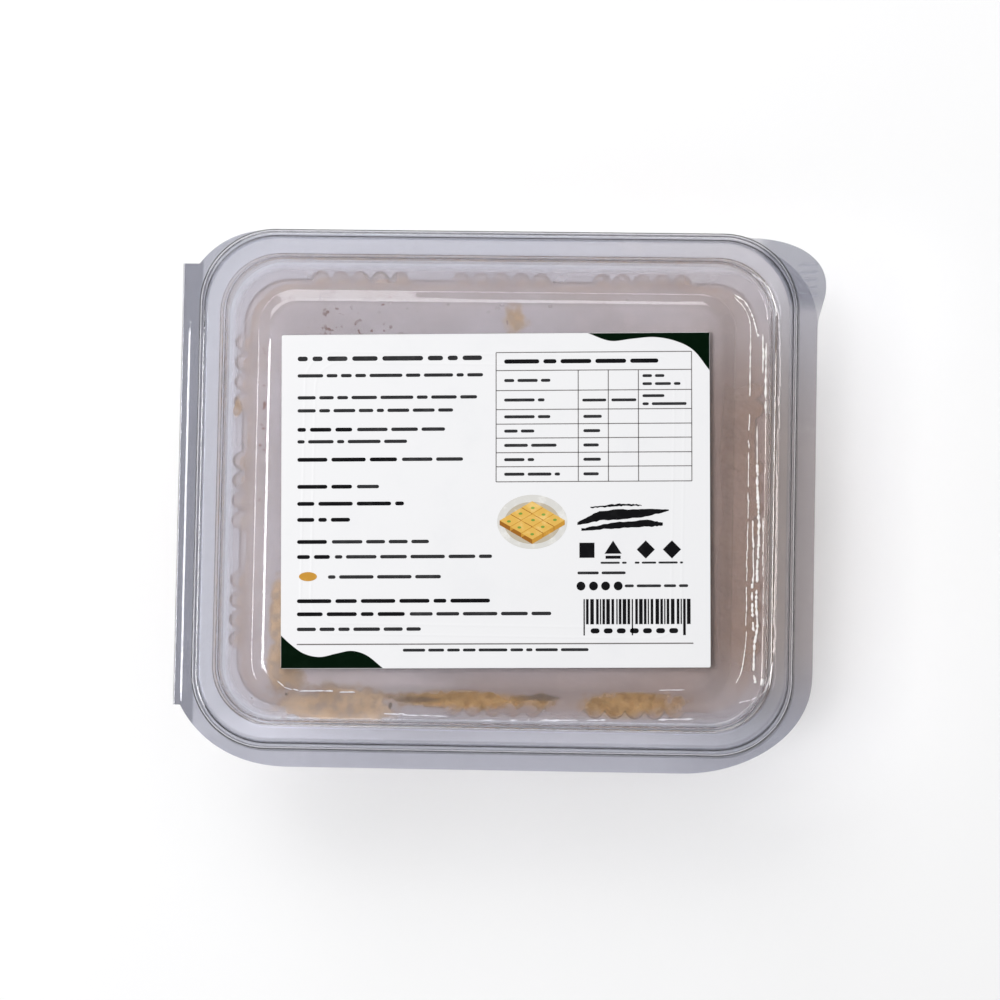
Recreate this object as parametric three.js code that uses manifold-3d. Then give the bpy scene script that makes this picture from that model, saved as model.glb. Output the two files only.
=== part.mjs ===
// A shut, clear, hinged sweet box with a soft block of kalakand in it and a printed label on its lid.
// Millimetres, +Z up. The box stands on its floor, its hinge is on the -X side, and its lift tab is
// at the +X +Y corner. The origin is the centre of the bounding box's underside.

import * as THREE from "three";
import { mergeVertices } from "three/addons/utils/BufferGeometryUtils.js";
import Module from "manifold-3d";

const wasm = await Module();
wasm.setup();

// The formed sheet
const SHEET = 0.45;
const FLANGE_Z = 28;
const TOUCH_GAP = 0.3;

// The rim's outer foot, which every inner contour is inset from
const RIM_HALF_X = 70.6;
const RIM_HALF_Y = 61;
const RIM_CORNER = 17.8;
const CORNER_SHRINK = 0.68;
const SMALLEST_CORNER = 3;
const CORNER_STEPS = 10;

// The flange that both halves share
const FLANGE_RIGHT = 74.7;
const FLANGE_TOP = 61.5;
const FLANGE_BOTTOM = -65;
const HINGE_X = -74.45;
const HINGE_LOW = -50.9;
const HINGE_HIGH = 53.2;
const HINGE_ROLL = 0.45;
const STRIP_START_X = -71;
const TAB_X = 76.6;
const CURVE_STEPS = 9;

// The lid's levels above the flange, and how far in its hollow rim and recess start
const RIM_RISE = 6.4;
const RIM_OUTER = 1.5;
const RIM_INNER = 4.9;
const RIM_BEND = 0.6;
const RECESS_RISE = 2.9;
const RECESS_OUTER = 6.6;
const PANEL_RISE = 4.2;
const EMBOSS_DEPTH = 0.5;
const PANEL_HALF_X = 53.3;
const PANEL_HALF_Y = 45.3;
const PANEL_SLOPE = 2.5;
const PANEL_SHIFT_X = -0.4;
const PANEL_SHIFT_Y = -0.9;
const EMBOSS_HALF_X = 44.5;
const EMBOSS_HALF_Y = 33;
const EMBOSS_SLOPE = 2.4;

// The base's levels and contours
const BEAD_RISE = 5.05;
const BEAD_FOOT = 1.3;
const BEAD_OUTER = 2.2;
const BEAD_INNER = 4;
const BEAD_BEND = 0.5;
const LEDGE_DROP = 4.2;
const LEDGE_OUTER = 6.1;
const WALL_TOP_X = 8.9;
const WALL_TOP = 9.5;
const WALL_FOOT = 11.7;
const FOOT_Z = 3.4;
const FLOOR_INSET = 14.4;

// Upright flutes that bulge out of the base's walls, in three groups a side
const FLUTE_PITCH = 4.7;
const FLUTE_DEPTH = 1.9;
const FLUTE_SHAPE = [0, 0.78, 1, 0.78];
const GROUPS = [-1, 0, 1];
const SIDE_FLUTES = 4;
const SIDE_GROUP_PITCH = 28.1;
const END_FLUTES = 5;
const END_GROUP_PITCH = 33.3;
const FLUTE_FOOT_Z = 5.6;

// The grip ridges on the lift tab
const RIDGES = 5;
const RIDGE_RADIUS = 0.42;
const RIDGE_PITCH = 1.75;
const RIDGE_LENGTH = 4.6;
const RIDGE_X = 72.4;
const RIDGE_LOW_Y = 47.5;
const RIDGE_SIDES = 8;

// The label
const LABEL_WIDTH = 100.3;
const LABEL_HEIGHT = 78.3;
const LABEL_THICKNESS = 0.3;
const LABEL_X = 0.2;
const LABEL_Y = -2.2;
const LABEL_TURN = 1.1;
const LABEL_CORNER = 0.4;

// The kalakand: one soft, uneven mass that lies against the base's walls
const SWEET_TOP = 18.6;
const SWEET_BANK = 4.3;
const SWEET_LEAN = 0.9;
const SWEET_LUMPS = [
  { across: 0.11, along: 0.07, phase: 0.6, height: 0.55 },
  { across: -0.06, along: 0.16, phase: 2.1, height: 0.45 },
  { across: 0.23, along: -0.19, phase: 4.0, height: 0.3 },
];
const SWEET_RINGS = 9;
const SWEET_SHOULDER = 2.2;
const SWEET_CLEARANCE = 0.4;

// One closed ring of a rounded rectangle, anticlockwise from above, starting at the +X side's middle.
// The straight sides carry the points that sideSteps gives, each a distance along and a bulge out.
function roundedRing(halfX, halfY, corner, z, shift = [0, 0], sideSteps = null) {
  const points = [];
  const sides = [
    { along: [0, 1], out: [1, 0], reach: halfX, run: halfY - corner, steps: sideSteps?.side },
    { along: [-1, 0], out: [0, 1], reach: halfY, run: halfX - corner, steps: sideSteps?.end },
    { along: [0, -1], out: [-1, 0], reach: halfX, run: halfY - corner, steps: sideSteps?.side },
    { along: [1, 0], out: [0, -1], reach: halfY, run: halfX - corner, steps: sideSteps?.end },
  ];
  for (const { along, out, reach, run, steps } of sides) {
    for (const { at, bulge } of steps ?? []) {
      const r = reach + bulge;
      points.push([along[0] * at + out[0] * r, along[1] * at + out[1] * r]);
    }
    for (let i = 0; i <= CORNER_STEPS; i++) {
      const a = (i / CORNER_STEPS) * (Math.PI / 2);
      const forward = run + corner * Math.sin(a);
      const outward = reach - corner + corner * Math.cos(a);
      points.push([
        along[0] * forward + out[0] * outward,
        along[1] * forward + out[1] * outward,
      ]);
    }
  }
  return points.map(([x, y]) => new THREE.Vector3(x + shift[0], y + shift[1], z));
}

// The flute points of one straight side: a distance along it and the bulge there, scaled by depth.
function fluteSteps(count, groupPitch, depth) {
  const steps = [];
  for (const group of GROUPS) {
    const start = group * groupPitch - (count * FLUTE_PITCH) / 2;
    for (let i = 0; i < count; i++) {
      FLUTE_SHAPE.forEach((share, k) => {
        const at = start + (i + k / FLUTE_SHAPE.length) * FLUTE_PITCH;
        steps.push({ at, bulge: share * depth });
      });
    }
    steps.push({ at: start + count * FLUTE_PITCH, bulge: 0 });
  }
  return steps;
}

function flutedSides(depth) {
  return {
    side: fluteSteps(SIDE_FLUTES, SIDE_GROUP_PITCH, depth),
    end: fluteSteps(END_FLUTES, END_GROUP_PITCH, depth),
  };
}

// A ring inset from the rim's outer foot; corners tighten more slowly than the sides move in.
function insetRing({ inset, insetY = inset, z, flute = null, shift }) {
  const corner = Math.max(RIM_CORNER - CORNER_SHRINK * ((inset + insetY) / 2), SMALLEST_CORNER);
  const sides = flute === null ? null : flutedSides(flute);
  return roundedRing(RIM_HALF_X - inset, RIM_HALF_Y - insetY, corner, z, shift, sides);
}

// Triangles are gathered as plain vertex lists, and become one closed surface.
function newSurface() {
  const vertices = [];
  const triangle = (a, b, c, up) => vertices.push(a, up ? b : c, up ? c : b);
  return {
    // Joins an outer ring to an inner one; up says that the band's face looks up or out.
    band(outer, inner, up) {
      if (outer.length === inner.length) {
        outer.forEach((a, i) => {
          const n = (i + 1) % outer.length;
          triangle(a, outer[n], inner[i], up);
          triangle(outer[n], inner[n], inner[i], up);
        });
        return;
      }
      const angle = (p) => Math.atan2(p.y, p.x);
      const sorted = (ring) => {
        const first = ring.reduce((best, p, i) => (angle(p) < angle(ring[best]) ? i : best), 0);
        return ring.slice(first).concat(ring.slice(0, first));
      };
      const a = sorted(outer);
      const b = sorted(inner);
      const at = (ring, i) => angle(ring[i % ring.length]) + (i >= ring.length ? 2 * Math.PI : 0);
      let i = 0;
      let j = 0;
      while (i < a.length || j < b.length) {
        const outerNext = i < a.length && (j >= b.length || at(a, i + 1) <= at(b, j + 1));
        const p = a[i % a.length];
        const q = b[j % b.length];
        if (outerNext) {
          triangle(p, a[(i + 1) % a.length], q, up);
          i++;
        } else {
          triangle(p, b[(j + 1) % b.length], q, up);
          j++;
        }
      }
    },
    cap(ring, up) {
      const centre = ring
        .reduce((sum, p) => sum.add(p), new THREE.Vector3())
        .divideScalar(ring.length);
      ring.forEach((p, i) => triangle(p, ring[(i + 1) % ring.length], centre, up));
    },
    edge(lower, upper) {
      this.band(lower, upper, true);
    },
    geometry() {
      return new THREE.BufferGeometry().setFromPoints(vertices);
    },
  };
}

// The profile's points moved square to it by the sheet's thickness, with mitred corners.
function offsetProfile(profile, thickness) {
  const normals = profile.slice(1).map((p, i) => {
    const q = profile[i];
    const run = p.inset - q.inset;
    const rise = p.z - q.z;
    const length = Math.hypot(run, rise);
    return [-rise / length, run / length];
  });
  return profile.map((p, i) => {
    const before = normals[Math.max(i - 1, 0)];
    const after = normals[Math.min(i, normals.length - 1)];
    const sum = [before[0] + after[0], before[1] + after[1]];
    const scale = (2 * thickness) / (sum[0] ** 2 + sum[1] ** 2);
    const moved = { ...p, inset: p.inset + sum[0] * scale, z: p.z + sum[1] * scale };
    if (p.insetY !== undefined) moved.insetY = p.insetY + sum[0] * scale;
    return moved;
  });
}

// One formed sheet: a flange outline and a profile of rings, given on the sheet's lower face.
function formedSheet(outline, flangeLow, profile) {
  const surface = newSurface();
  const skins = [
    { up: false, rise: 0, rings: profile.map(insetRing) },
    { up: true, rise: SHEET, rings: offsetProfile(profile, SHEET).map(insetRing) },
  ];
  const edges = skins.map(({ up, rise, rings }) => {
    const rim = outline.map(([x, y]) => new THREE.Vector3(x, y, flangeLow + rise));
    [rim, ...rings].reduce((outer, inner) => {
      surface.band(outer, inner, up);
      return inner;
    });
    surface.cap(rings.at(-1), up);
    return rim;
  });
  surface.edge(edges[0], edges[1]);
  return surface.geometry();
}

// The flange's outline, anticlockwise from the +X side's lower end. The moulding is trimmed almost
// flush along +Y, wide along -Y, and reaches out to the hinge fold on -X.
function flangeOutline(hingeEdge, hasTab) {
  const path = new THREE.Path();
  path.moveTo(FLANGE_RIGHT, -42);
  path.lineTo(FLANGE_RIGHT, 40);
  if (hasTab) {
    path.bezierCurveTo(FLANGE_RIGHT + 0.3, 44, TAB_X, 45.5, TAB_X, 49.6);
    path.bezierCurveTo(TAB_X, 56, 70, 60.4, 59.5, 60.6);
    path.bezierCurveTo(57, 60.9, 54, FLANGE_TOP, 50, FLANGE_TOP);
  } else {
    path.bezierCurveTo(FLANGE_RIGHT, 51, 66.5, 59.5, 50, FLANGE_TOP);
  }
  path.lineTo(-53, FLANGE_TOP);
  path.bezierCurveTo(-60, FLANGE_TOP, -66.5, 59.3, STRIP_START_X, HINGE_HIGH);
  path.lineTo(hingeEdge, HINGE_HIGH);
  path.lineTo(hingeEdge, HINGE_LOW);
  path.lineTo(STRIP_START_X - 2.2, HINGE_LOW);
  path.bezierCurveTo(-69, -59, -60, FLANGE_BOTTOM, -48, FLANGE_BOTTOM);
  path.lineTo(45, FLANGE_BOTTOM);
  path.bezierCurveTo(58, FLANGE_BOTTOM, FLANGE_RIGHT, -57, FLANGE_RIGHT, -42);
  const points = path.getPoints(CURVE_STEPS).map((p) => [p.x, p.y]);
  const last = points.at(-1);
  const closes = Math.hypot(last[0] - points[0][0], last[1] - points[0][1]) < 1e-6;
  return closes ? points.slice(0, -1) : points;
}

function solidOf(geometry) {
  const plain = geometry.clone();
  plain.deleteAttribute("normal");
  plain.deleteAttribute("uv");
  const merged = mergeVertices(plain, 1e-4);
  return new wasm.Manifold(
    new wasm.Mesh({
      numProp: 3,
      vertProperties: new Float32Array(merged.attributes.position.array),
      triVerts: new Uint32Array(merged.index.array),
    }),
  );
}

function geometryOf(solid) {
  const { vertProperties, triVerts } = solid.getMesh();
  const geometry = new THREE.BufferGeometry();
  geometry.setAttribute("position", new THREE.BufferAttribute(vertProperties, 3));
  geometry.setIndex(new THREE.BufferAttribute(triVerts, 1));
  return geometry;
}

const joined = (first, ...others) =>
  geometryOf(others.reduce((sum, g) => sum.add(solidOf(g)), solidOf(first)));

// The base tray: flange, hollow bead round its mouth, ledge, fluted walls and flat floor. The roll
// of the living hinge runs along its -X edge.
function baseGeometry() {
  const low = FLANGE_Z - TOUCH_GAP / 2 - SHEET;
  const ledge = FLANGE_Z - LEDGE_DROP;
  const flute = FLUTE_DEPTH;
  const bead = FLANGE_Z + BEAD_RISE - SHEET;
  const profile = [
    { inset: BEAD_FOOT, z: low },
    { inset: BEAD_OUTER - BEAD_BEND, z: bead - BEAD_BEND },
    { inset: BEAD_OUTER, z: bead },
    { inset: BEAD_INNER, z: bead },
    { inset: BEAD_INNER + BEAD_BEND, z: bead - BEAD_BEND },
    { inset: LEDGE_OUTER - 2 * BEAD_BEND, z: FLANGE_Z + 2 },
    { inset: LEDGE_OUTER - BEAD_BEND, z: ledge + BEAD_BEND },
    { inset: LEDGE_OUTER, z: ledge },
    { inset: WALL_TOP_X, insetY: WALL_TOP, z: ledge, flute },
    { inset: WALL_FOOT - 0.3, z: FLUTE_FOOT_Z, flute: flute * 0.75 },
    { inset: WALL_FOOT, z: FOOT_Z, flute: 0 },
    { inset: WALL_FOOT + 0.9, z: 0.9, flute: 0 },
    { inset: FLOOR_INSET, z: 0, flute: 0 },
  ];
  const edge = HINGE_X - HINGE_ROLL / 4;
  const sheet = formedSheet(flangeOutline(edge, false), low, profile);
  const roll = new THREE.CylinderGeometry(HINGE_ROLL, HINGE_ROLL, HINGE_HIGH - HINGE_LOW, 12);
  roll.translate(HINGE_X, (HINGE_HIGH + HINGE_LOW) / 2, FLANGE_Z);
  return joined(sheet, roll);
}

// The lid: flange with the ridged lift tab, hollow rim, recess, and a raised panel for the label.
function lidGeometry() {
  const low = FLANGE_Z + TOUCH_GAP / 2;
  const at = (rise) => FLANGE_Z + rise - SHEET;
  const shift = [PANEL_SHIFT_X, PANEL_SHIFT_Y];
  const panel = (halfX, halfY, rise) => ({
    inset: RIM_HALF_X - halfX,
    insetY: RIM_HALF_Y - halfY,
    z: at(rise),
    shift,
  });
  const profile = [
    { inset: SHEET, z: low },
    { inset: RIM_OUTER - RIM_BEND, z: at(RIM_RISE - RIM_BEND) },
    { inset: RIM_OUTER, z: at(RIM_RISE) },
    { inset: RIM_INNER, z: at(RIM_RISE) },
    { inset: RIM_INNER + RIM_BEND, z: at(RIM_RISE - RIM_BEND) },
    { inset: RECESS_OUTER - RIM_BEND, z: at(RECESS_RISE + RIM_BEND) },
    { inset: RECESS_OUTER, z: at(RECESS_RISE) },
    panel(PANEL_HALF_X + PANEL_SLOPE, PANEL_HALF_Y + PANEL_SLOPE, RECESS_RISE),
    panel(PANEL_HALF_X, PANEL_HALF_Y, PANEL_RISE),
    panel(EMBOSS_HALF_X, EMBOSS_HALF_Y, PANEL_RISE),
    panel(EMBOSS_HALF_X - EMBOSS_SLOPE, EMBOSS_HALF_Y - EMBOSS_SLOPE, PANEL_RISE - EMBOSS_DEPTH),
  ];
  const edge = HINGE_X + HINGE_ROLL + TOUCH_GAP;
  const sheet = formedSheet(flangeOutline(edge, true), low, profile);
  const ridges = Array.from({ length: RIDGES }, (_, i) => {
    const ridge = new THREE.CylinderGeometry(
      RIDGE_RADIUS,
      RIDGE_RADIUS,
      RIDGE_LENGTH,
      RIDGE_SIDES,
    );
    ridge.rotateZ(Math.PI / 2);
    ridge.translate(RIDGE_X, RIDGE_LOW_Y + i * RIDGE_PITCH, low + SHEET);
    return ridge;
  });
  return joined(sheet, ...ridges);
}

// The label: a thin sheet with just-rounded corners, stuck on the lid's panel a little askew.
function labelGeometry() {
  const x = LABEL_WIDTH / 2;
  const y = LABEL_HEIGHT / 2;
  const shape = new THREE.Shape();
  shape.moveTo(-x + LABEL_CORNER, -y);
  shape.lineTo(x - LABEL_CORNER, -y);
  shape.quadraticCurveTo(x, -y, x, -y + LABEL_CORNER);
  shape.lineTo(x, y - LABEL_CORNER);
  shape.quadraticCurveTo(x, y, x - LABEL_CORNER, y);
  shape.lineTo(-x + LABEL_CORNER, y);
  shape.quadraticCurveTo(-x, y, -x, y - LABEL_CORNER);
  shape.lineTo(-x, -y + LABEL_CORNER);
  shape.quadraticCurveTo(-x, -y, -x + LABEL_CORNER, -y);
  const sheet = new THREE.ExtrudeGeometry(shape, {
    depth: LABEL_THICKNESS,
    bevelEnabled: false,
    curveSegments: 3,
  });
  sheet.rotateZ(THREE.MathUtils.degToRad(LABEL_TURN));
  sheet.translate(LABEL_X, LABEL_Y, FLANGE_Z + PANEL_RISE + TOUCH_GAP);
  return sheet;
}

// Height of the sweet's top: banked up against the -Y wall, leaning towards +X, with soft lumps.
function sweetTop(x, y) {
  const bank = SWEET_BANK * THREE.MathUtils.smoothstep(-y, 18, RIM_HALF_Y - WALL_TOP - 4);
  const lean = (SWEET_LEAN * x) / RIM_HALF_X;
  const lumps = SWEET_LUMPS.reduce(
    (sum, { across, along, phase, height }) =>
      sum + height * Math.sin(across * x + along * y + phase),
    0,
  );
  return SWEET_TOP + bank + lean + lumps;
}

// The kalakand's solid: rings up its side from the floor, then in across its uneven top.
function sweetGeometry() {
  const surface = newSurface();
  const inside = SHEET + SWEET_CLEARANCE;
  const floor = SHEET + TOUCH_GAP;
  const sideInset = (z) => {
    const share = (z - FOOT_Z) / (FLANGE_Z - LEDGE_DROP - FOOT_Z);
    return THREE.MathUtils.lerp(WALL_FOOT, WALL_TOP, share) + inside;
  };
  const level = (inset, z) => insetRing({ inset, z, flute: 0 });
  const low = level(FLOOR_INSET + inside, floor);
  const foot = level(sideInset(FOOT_Z), FOOT_Z + 0.4);
  const shoulder = level(sideInset(SWEET_TOP), 0);
  shoulder.forEach((p) => (p.z = sweetTop(p.x, p.y) - SWEET_SHOULDER));
  const top = Array.from({ length: SWEET_RINGS }, (_, i) => {
    const share = 1 - i / SWEET_RINGS;
    const start = i === 0 ? SWEET_SHOULDER * 0.35 : SWEET_SHOULDER;
    const ring = level(sideInset(SWEET_TOP) + start, 0);
    ring.forEach((p) => {
      p.x *= share;
      p.y *= share;
      p.z = sweetTop(p.x, p.y) - (i === 0 ? SWEET_SHOULDER * 0.3 : 0);
    });
    return ring;
  });
  const coarse = (ring) => ring.filter((_, i) => i % 4 === 0);
  const rings = [foot, shoulder, ...top].map(coarse);
  surface.cap(coarse(low), false);
  surface.band(rings[0], coarse(low), false);
  for (let i = 1; i < rings.length; i++) surface.band(rings[i - 1], rings[i], true);
  surface.cap(rings.at(-1), true);
  return surface.geometry();
}

function piece(name, geometry, color, roughness, extra = {}) {
  const flat = geometry.index ? geometry.toNonIndexed() : geometry;
  flat.computeVertexNormals();
  const material = new THREE.MeshStandardMaterial({ color, roughness, metalness: 0, ...extra });
  const mesh = new THREE.Mesh(flat, material);
  mesh.name = name;
  return mesh;
}

const clear = { transparent: true, opacity: 0.35 };
const pack = new THREE.Group();
pack.name = "sweet_box";
pack.add(
  piece("base_tray", baseGeometry(), 0xd9dae2, 0.08, clear),
  piece("kalakand", sweetGeometry(), 0xb88d58, 0.6),
  piece("lid", lidGeometry(), 0xdcdde6, 0.08, clear),
  piece("label", labelGeometry(), 0xf3f3f3, 0.45),
);

// The whole pack is centred on its own bounding box.
const bounds = new THREE.Box3().setFromObject(pack);
const centre = bounds.getCenter(new THREE.Vector3());
pack.position.set(-centre.x, -centre.y, -bounds.min.z);

export default pack;
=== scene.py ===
# %% [markdown]
# # A clear hinged box of kalakand
# Kalakand is a soft, grainy milk sweet. It is sold in a thin clear box with a hinge on one side and a
# big label on the lid. Nearly all that the picture shows is clear sheet over clear sheet, so this
# lesson is about thin formed plastic: its bends draw the picture, as thin dark and white lines.
#
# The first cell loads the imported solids. They are the frame: each piece made below stands where they
# stand, and rides on the body (tray or lid) that carries it when the lid swings open.

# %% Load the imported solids
import math
import random

import bmesh
import bpy
import numpy as np
from mathutils import Matrix, Vector
from mathutils.geometry import tessellate_polygon


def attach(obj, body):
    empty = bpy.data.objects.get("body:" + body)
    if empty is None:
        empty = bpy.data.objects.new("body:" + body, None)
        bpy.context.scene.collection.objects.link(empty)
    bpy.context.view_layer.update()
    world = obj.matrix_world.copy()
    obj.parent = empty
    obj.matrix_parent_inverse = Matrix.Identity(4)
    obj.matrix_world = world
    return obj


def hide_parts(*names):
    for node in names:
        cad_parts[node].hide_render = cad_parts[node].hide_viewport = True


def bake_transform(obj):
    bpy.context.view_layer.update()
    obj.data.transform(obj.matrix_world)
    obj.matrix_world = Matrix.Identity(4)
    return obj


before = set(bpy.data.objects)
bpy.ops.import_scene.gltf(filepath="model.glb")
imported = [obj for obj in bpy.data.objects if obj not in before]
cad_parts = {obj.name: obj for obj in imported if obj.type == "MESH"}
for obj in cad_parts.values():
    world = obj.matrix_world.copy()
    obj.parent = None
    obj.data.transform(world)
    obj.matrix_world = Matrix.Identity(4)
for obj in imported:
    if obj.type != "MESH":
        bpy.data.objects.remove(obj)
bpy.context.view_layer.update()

# %% [markdown]
# ## Measures
# A box like this is drawn in millimetres, while Blender works in metres, so every length below is in
# millimetres and becomes metres once, where a mesh is made. All lengths sideways are taken from the
# middle of the lid's rim. The whole box was photographed turned by a degree, and its label was
# straight in the picture, so one helper turns a place in the picture into a place on the box.

# %% Measures that every piece shares
MM = 0.001
RIM_MIDDLE = (-0.85, 1.75)
SHEET = 0.45
FLANGE_Z = 28.0
TOUCH_GAP = 0.3
# In the picture: how far it is turned, a pixel's size, the rim's middle, and how far a thing shifts
# for each millimetre that it lies lower than the rim.
PICTURE_TURN = math.radians(1.1)
PIXEL = 0.2344
RIM_PIXEL = (494.4, 491.0)
PICTURE_LEAN = (0.0659, 0.0783)
PICTURE_HEIGHT = 33.0


def from_picture(x, y):
    """A place on the lid, in millimetres from the rim's middle, from a place in the picture."""
    right, up = (x - RIM_PIXEL[0]) * PIXEL, (RIM_PIXEL[1] - y) * PIXEL
    turn_x, turn_y = math.cos(PICTURE_TURN), math.sin(PICTURE_TURN)
    return right * turn_x - up * turn_y, right * turn_y + up * turn_x


def seen_at(x, y, height):
    """The same for a thing lower or higher than the rim, which looks shifted in the picture."""
    right, up = from_picture(x, y)
    deeper = PICTURE_HEIGHT - height
    return right - deeper * PICTURE_LEAN[0], up + deeper * PICTURE_LEAN[1]


def to_metres(points):
    """Millimetres from the rim's middle to metres in the shared frame."""
    moved = np.array(points, float) + (RIM_MIDDLE[0], RIM_MIDDLE[1], 0.0)
    return moved * MM


print("the label's upper left corner is at", [round(v, 2) for v in from_picture(281, 334)])

# %% [markdown]
# ## Rings of a rounded box
# Clear boxes are formed from one hot sheet that is drawn into a mould. Seen from above, every bend of
# such a sheet is the same rounded rectangle, a little further in each time. So the sheet can be built
# from rings, as a row of cuts through a cake. Modelling it by hand with loop cuts and bevels would
# also work, but the rings let one list of numbers, the section, draw the whole form.
#
# A ring plan says which points a ring has: where along a side, or how far round a corner. The plan
# for the base has extra points where the upright flutes bulge out of its walls.

# %% Plans for the rings
RIM_HALF = (70.6, 61.0)
RIM_CORNER = 17.8
CORNER_SHRINK = 0.68
SMALLEST_CORNER = 3.0
FLUTE_PITCH = 4.7
FLUTES = ((4, 28.1), (5, 33.3))
FLUTE_POINTS = 8
ALONG = np.array([(0, 1), (-1, 0), (0, -1), (1, 0)], float)
OUT = np.array([(1, 0), (0, 1), (-1, 0), (0, -1)], float)


def fluted_stops(count, pitch):
    """Places along a side with three groups of flutes, and how far each bulges, from 0 to 1."""
    half = count * FLUTE_PITCH / 2
    places = []
    for group in (-1, 0, 1):
        start = group * pitch - half
        for i in range(count * FLUTE_POINTS):
            share = (i % FLUTE_POINTS) / FLUTE_POINTS
            places.append((start + i * FLUTE_PITCH / FLUTE_POINTS, math.sin(math.pi * share) ** 0.7))
        gap = pitch - 2 * half if group < 1 else 0.0
        steps = 8 if group < 1 else 1
        places += [(start + 2 * half + gap * i / steps, 0.0) for i in range(steps)]
    return places


def ring_plan(corner_steps, plain_steps=0):
    """One row a point: side, place along it, share of the straight run, corner angle, bulge."""
    rows = []
    for side in range(4):
        if plain_steps:
            for i in range(1, plain_steps):
                rows.append((side, 0, 2 * i / plain_steps - 1, 0, 0))
        else:
            stops = fluted_stops(*FLUTES[side % 2])
            first, last = stops[0][0], stops[-1][0]
            rows += [(side, first * t, t - 1, 0, 0) for t in (1 / 3, 2 / 3)]
            rows += [(side, place, 0, 0, bulge) for place, bulge in stops]
            rows += [(side, last * t, 1 - t, 0, 0) for t in (2 / 3, 1 / 3)]
        for i in range(corner_steps + 1):
            rows.append((side, 0, 1, i / corner_steps * math.pi / 2, 0))
    return np.array(rows, float)


BASE_PLAN = ring_plan(corner_steps=20)
LID_PLAN = ring_plan(corner_steps=30, plain_steps=44)
print("points in a ring of the base:", len(BASE_PLAN), "and of the lid:", len(LID_PLAN))

# %% From a plan to a ring


def ring(plan, inset_x, inset_y, z, flute=0.0, shift_x=0.0, shift_y=0.0):
    """The ring's points, inset from the rim; each number may also be one number a point."""
    side = plan[:, 0].astype(int)
    place, run_share, angle, bulge = plan[:, 1:].T
    long_side = side % 2 == 1
    corner = np.maximum(RIM_CORNER - CORNER_SHRINK * (inset_x + inset_y) / 2, SMALLEST_CORNER)
    half_x, half_y = RIM_HALF[0] - inset_x, RIM_HALF[1] - inset_y
    reach = np.where(long_side, half_y, half_x)
    run = np.where(long_side, half_x, half_y) - corner
    forward = place + run_share * run + corner * np.sin(angle)
    outward = reach - corner * (1 - np.cos(angle)) + bulge * flute
    flat = ALONG[side] * forward[:, None] + OUT[side] * outward[:, None]
    points = np.column_stack([flat, np.zeros(len(flat)) + z])
    return points + np.array([shift_x, shift_y, 0.0])


# %% [markdown]
# ## The section of a formed sheet
# A section is a list of bends: how far in from the rim, how high, how deep the flutes are there. Hot
# sheet never makes a sharp bend, so each bend is rounded. Then the same line, moved square to itself
# by the sheet's thickness, gives the other face. A Solidify modifier does the same for simple forms.
# It is done in code here because both faces must stay one clean closed skin: light that passes
# clear plastic is bent at each face, and any stray face inside would show.

# %% Round a section and give it thickness


def rounded(section, radius, steps=4):
    """The section with each bend replaced by a short curve; radius may be one number a bend."""
    rows = np.array(section, float)
    curve = [rows[0]]
    radii = np.broadcast_to(radius, len(rows) - 2)
    for before, here, after, soft in zip(rows, rows[1:], rows[2:], radii):
        arms = [np.hypot(*(row - here)[[0, 2]]) for row in (before, after)]
        reach = min(soft, 0.45 * arms[0], 0.45 * arms[1])
        start = here + (before - here) * reach / arms[0]
        end = here + (after - here) * reach / arms[1]
        for t in np.linspace(0, 1, steps + 1):
            curve.append((1 - t) ** 2 * start + 2 * t * (1 - t) * here + t * t * end)
    return held(curve + [rows[-1]])


def held(curve, hold=0.12, longest=1.2):
    """The section with a point close to each end of its long straight parts, to keep those flat."""
    kept = [curve[0]]
    for here, after in zip(curve, curve[1:]):
        length = np.hypot(*(after - here)[[0, 2]])
        if length > longest:
            kept += [here + (after - here) * hold / length, after - (after - here) * hold / length]
        kept.append(after)
    return np.array(kept)


def other_face(rows, thickness):
    """The section moved square to itself, up and in, by the sheet's thickness."""
    slope = np.gradient(rows[:, [0, 2]], axis=0)
    slope /= np.linalg.norm(slope, axis=1)[:, None]
    moved = rows.copy()
    moved[:, 0] -= slope[:, 1] * thickness
    moved[:, 1] -= slope[:, 1] * thickness
    moved[:, 2] += slope[:, 0] * thickness
    return moved


def ripple(points, amount):
    """Raises and lowers points by the faint waves that cooling leaves in formed sheet."""
    x, y = points[:, 0], points[:, 1]
    waves = (
        np.sin(x / 7.3 + y / 12.1 + 0.7)
        + np.sin(x / 14.0 - y / 8.7 + 2.1)
        + 0.5 * np.sin(x / 4.1 + 1.3 * np.sin(y / 9.0))
        + 0.5 * np.sin(y / 4.4 + 1.1 * np.sin(x / 8.0))
    )
    points[:, 2] += amount * waves / 3
    return points


print("a square bend becomes", len(rounded([(0, 0, 0), (1, 1, 0), (1, 1, 1)], 0.4)), "points")

# %% Join rings into one closed skin


def skin_faces(rings, points_each, first, upward):
    """Quads between rings that run from the outside in, starting at vertex number first."""
    faces = []
    for level in range(rings - 1):
        outer = first + level * points_each
        inner = outer + points_each
        for i in range(points_each):
            n = (i + 1) % points_each
            face = (outer + i, outer + n, inner + n, inner + i)
            faces.append(face if upward else face[::-1])
    return faces


def fan(centre, first, points_each, upward):
    """Triangles that close a ring to its middle."""
    faces = []
    for i in range(points_each):
        face = (first + i, first + (i + 1) % points_each, centre)
        faces.append(face if upward else face[::-1])
    return faces


def linked(name, data):
    """A new object of this data, put in the scene."""
    made = bpy.data.objects.new(name, data)
    bpy.context.scene.collection.objects.link(made)
    return made


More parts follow.
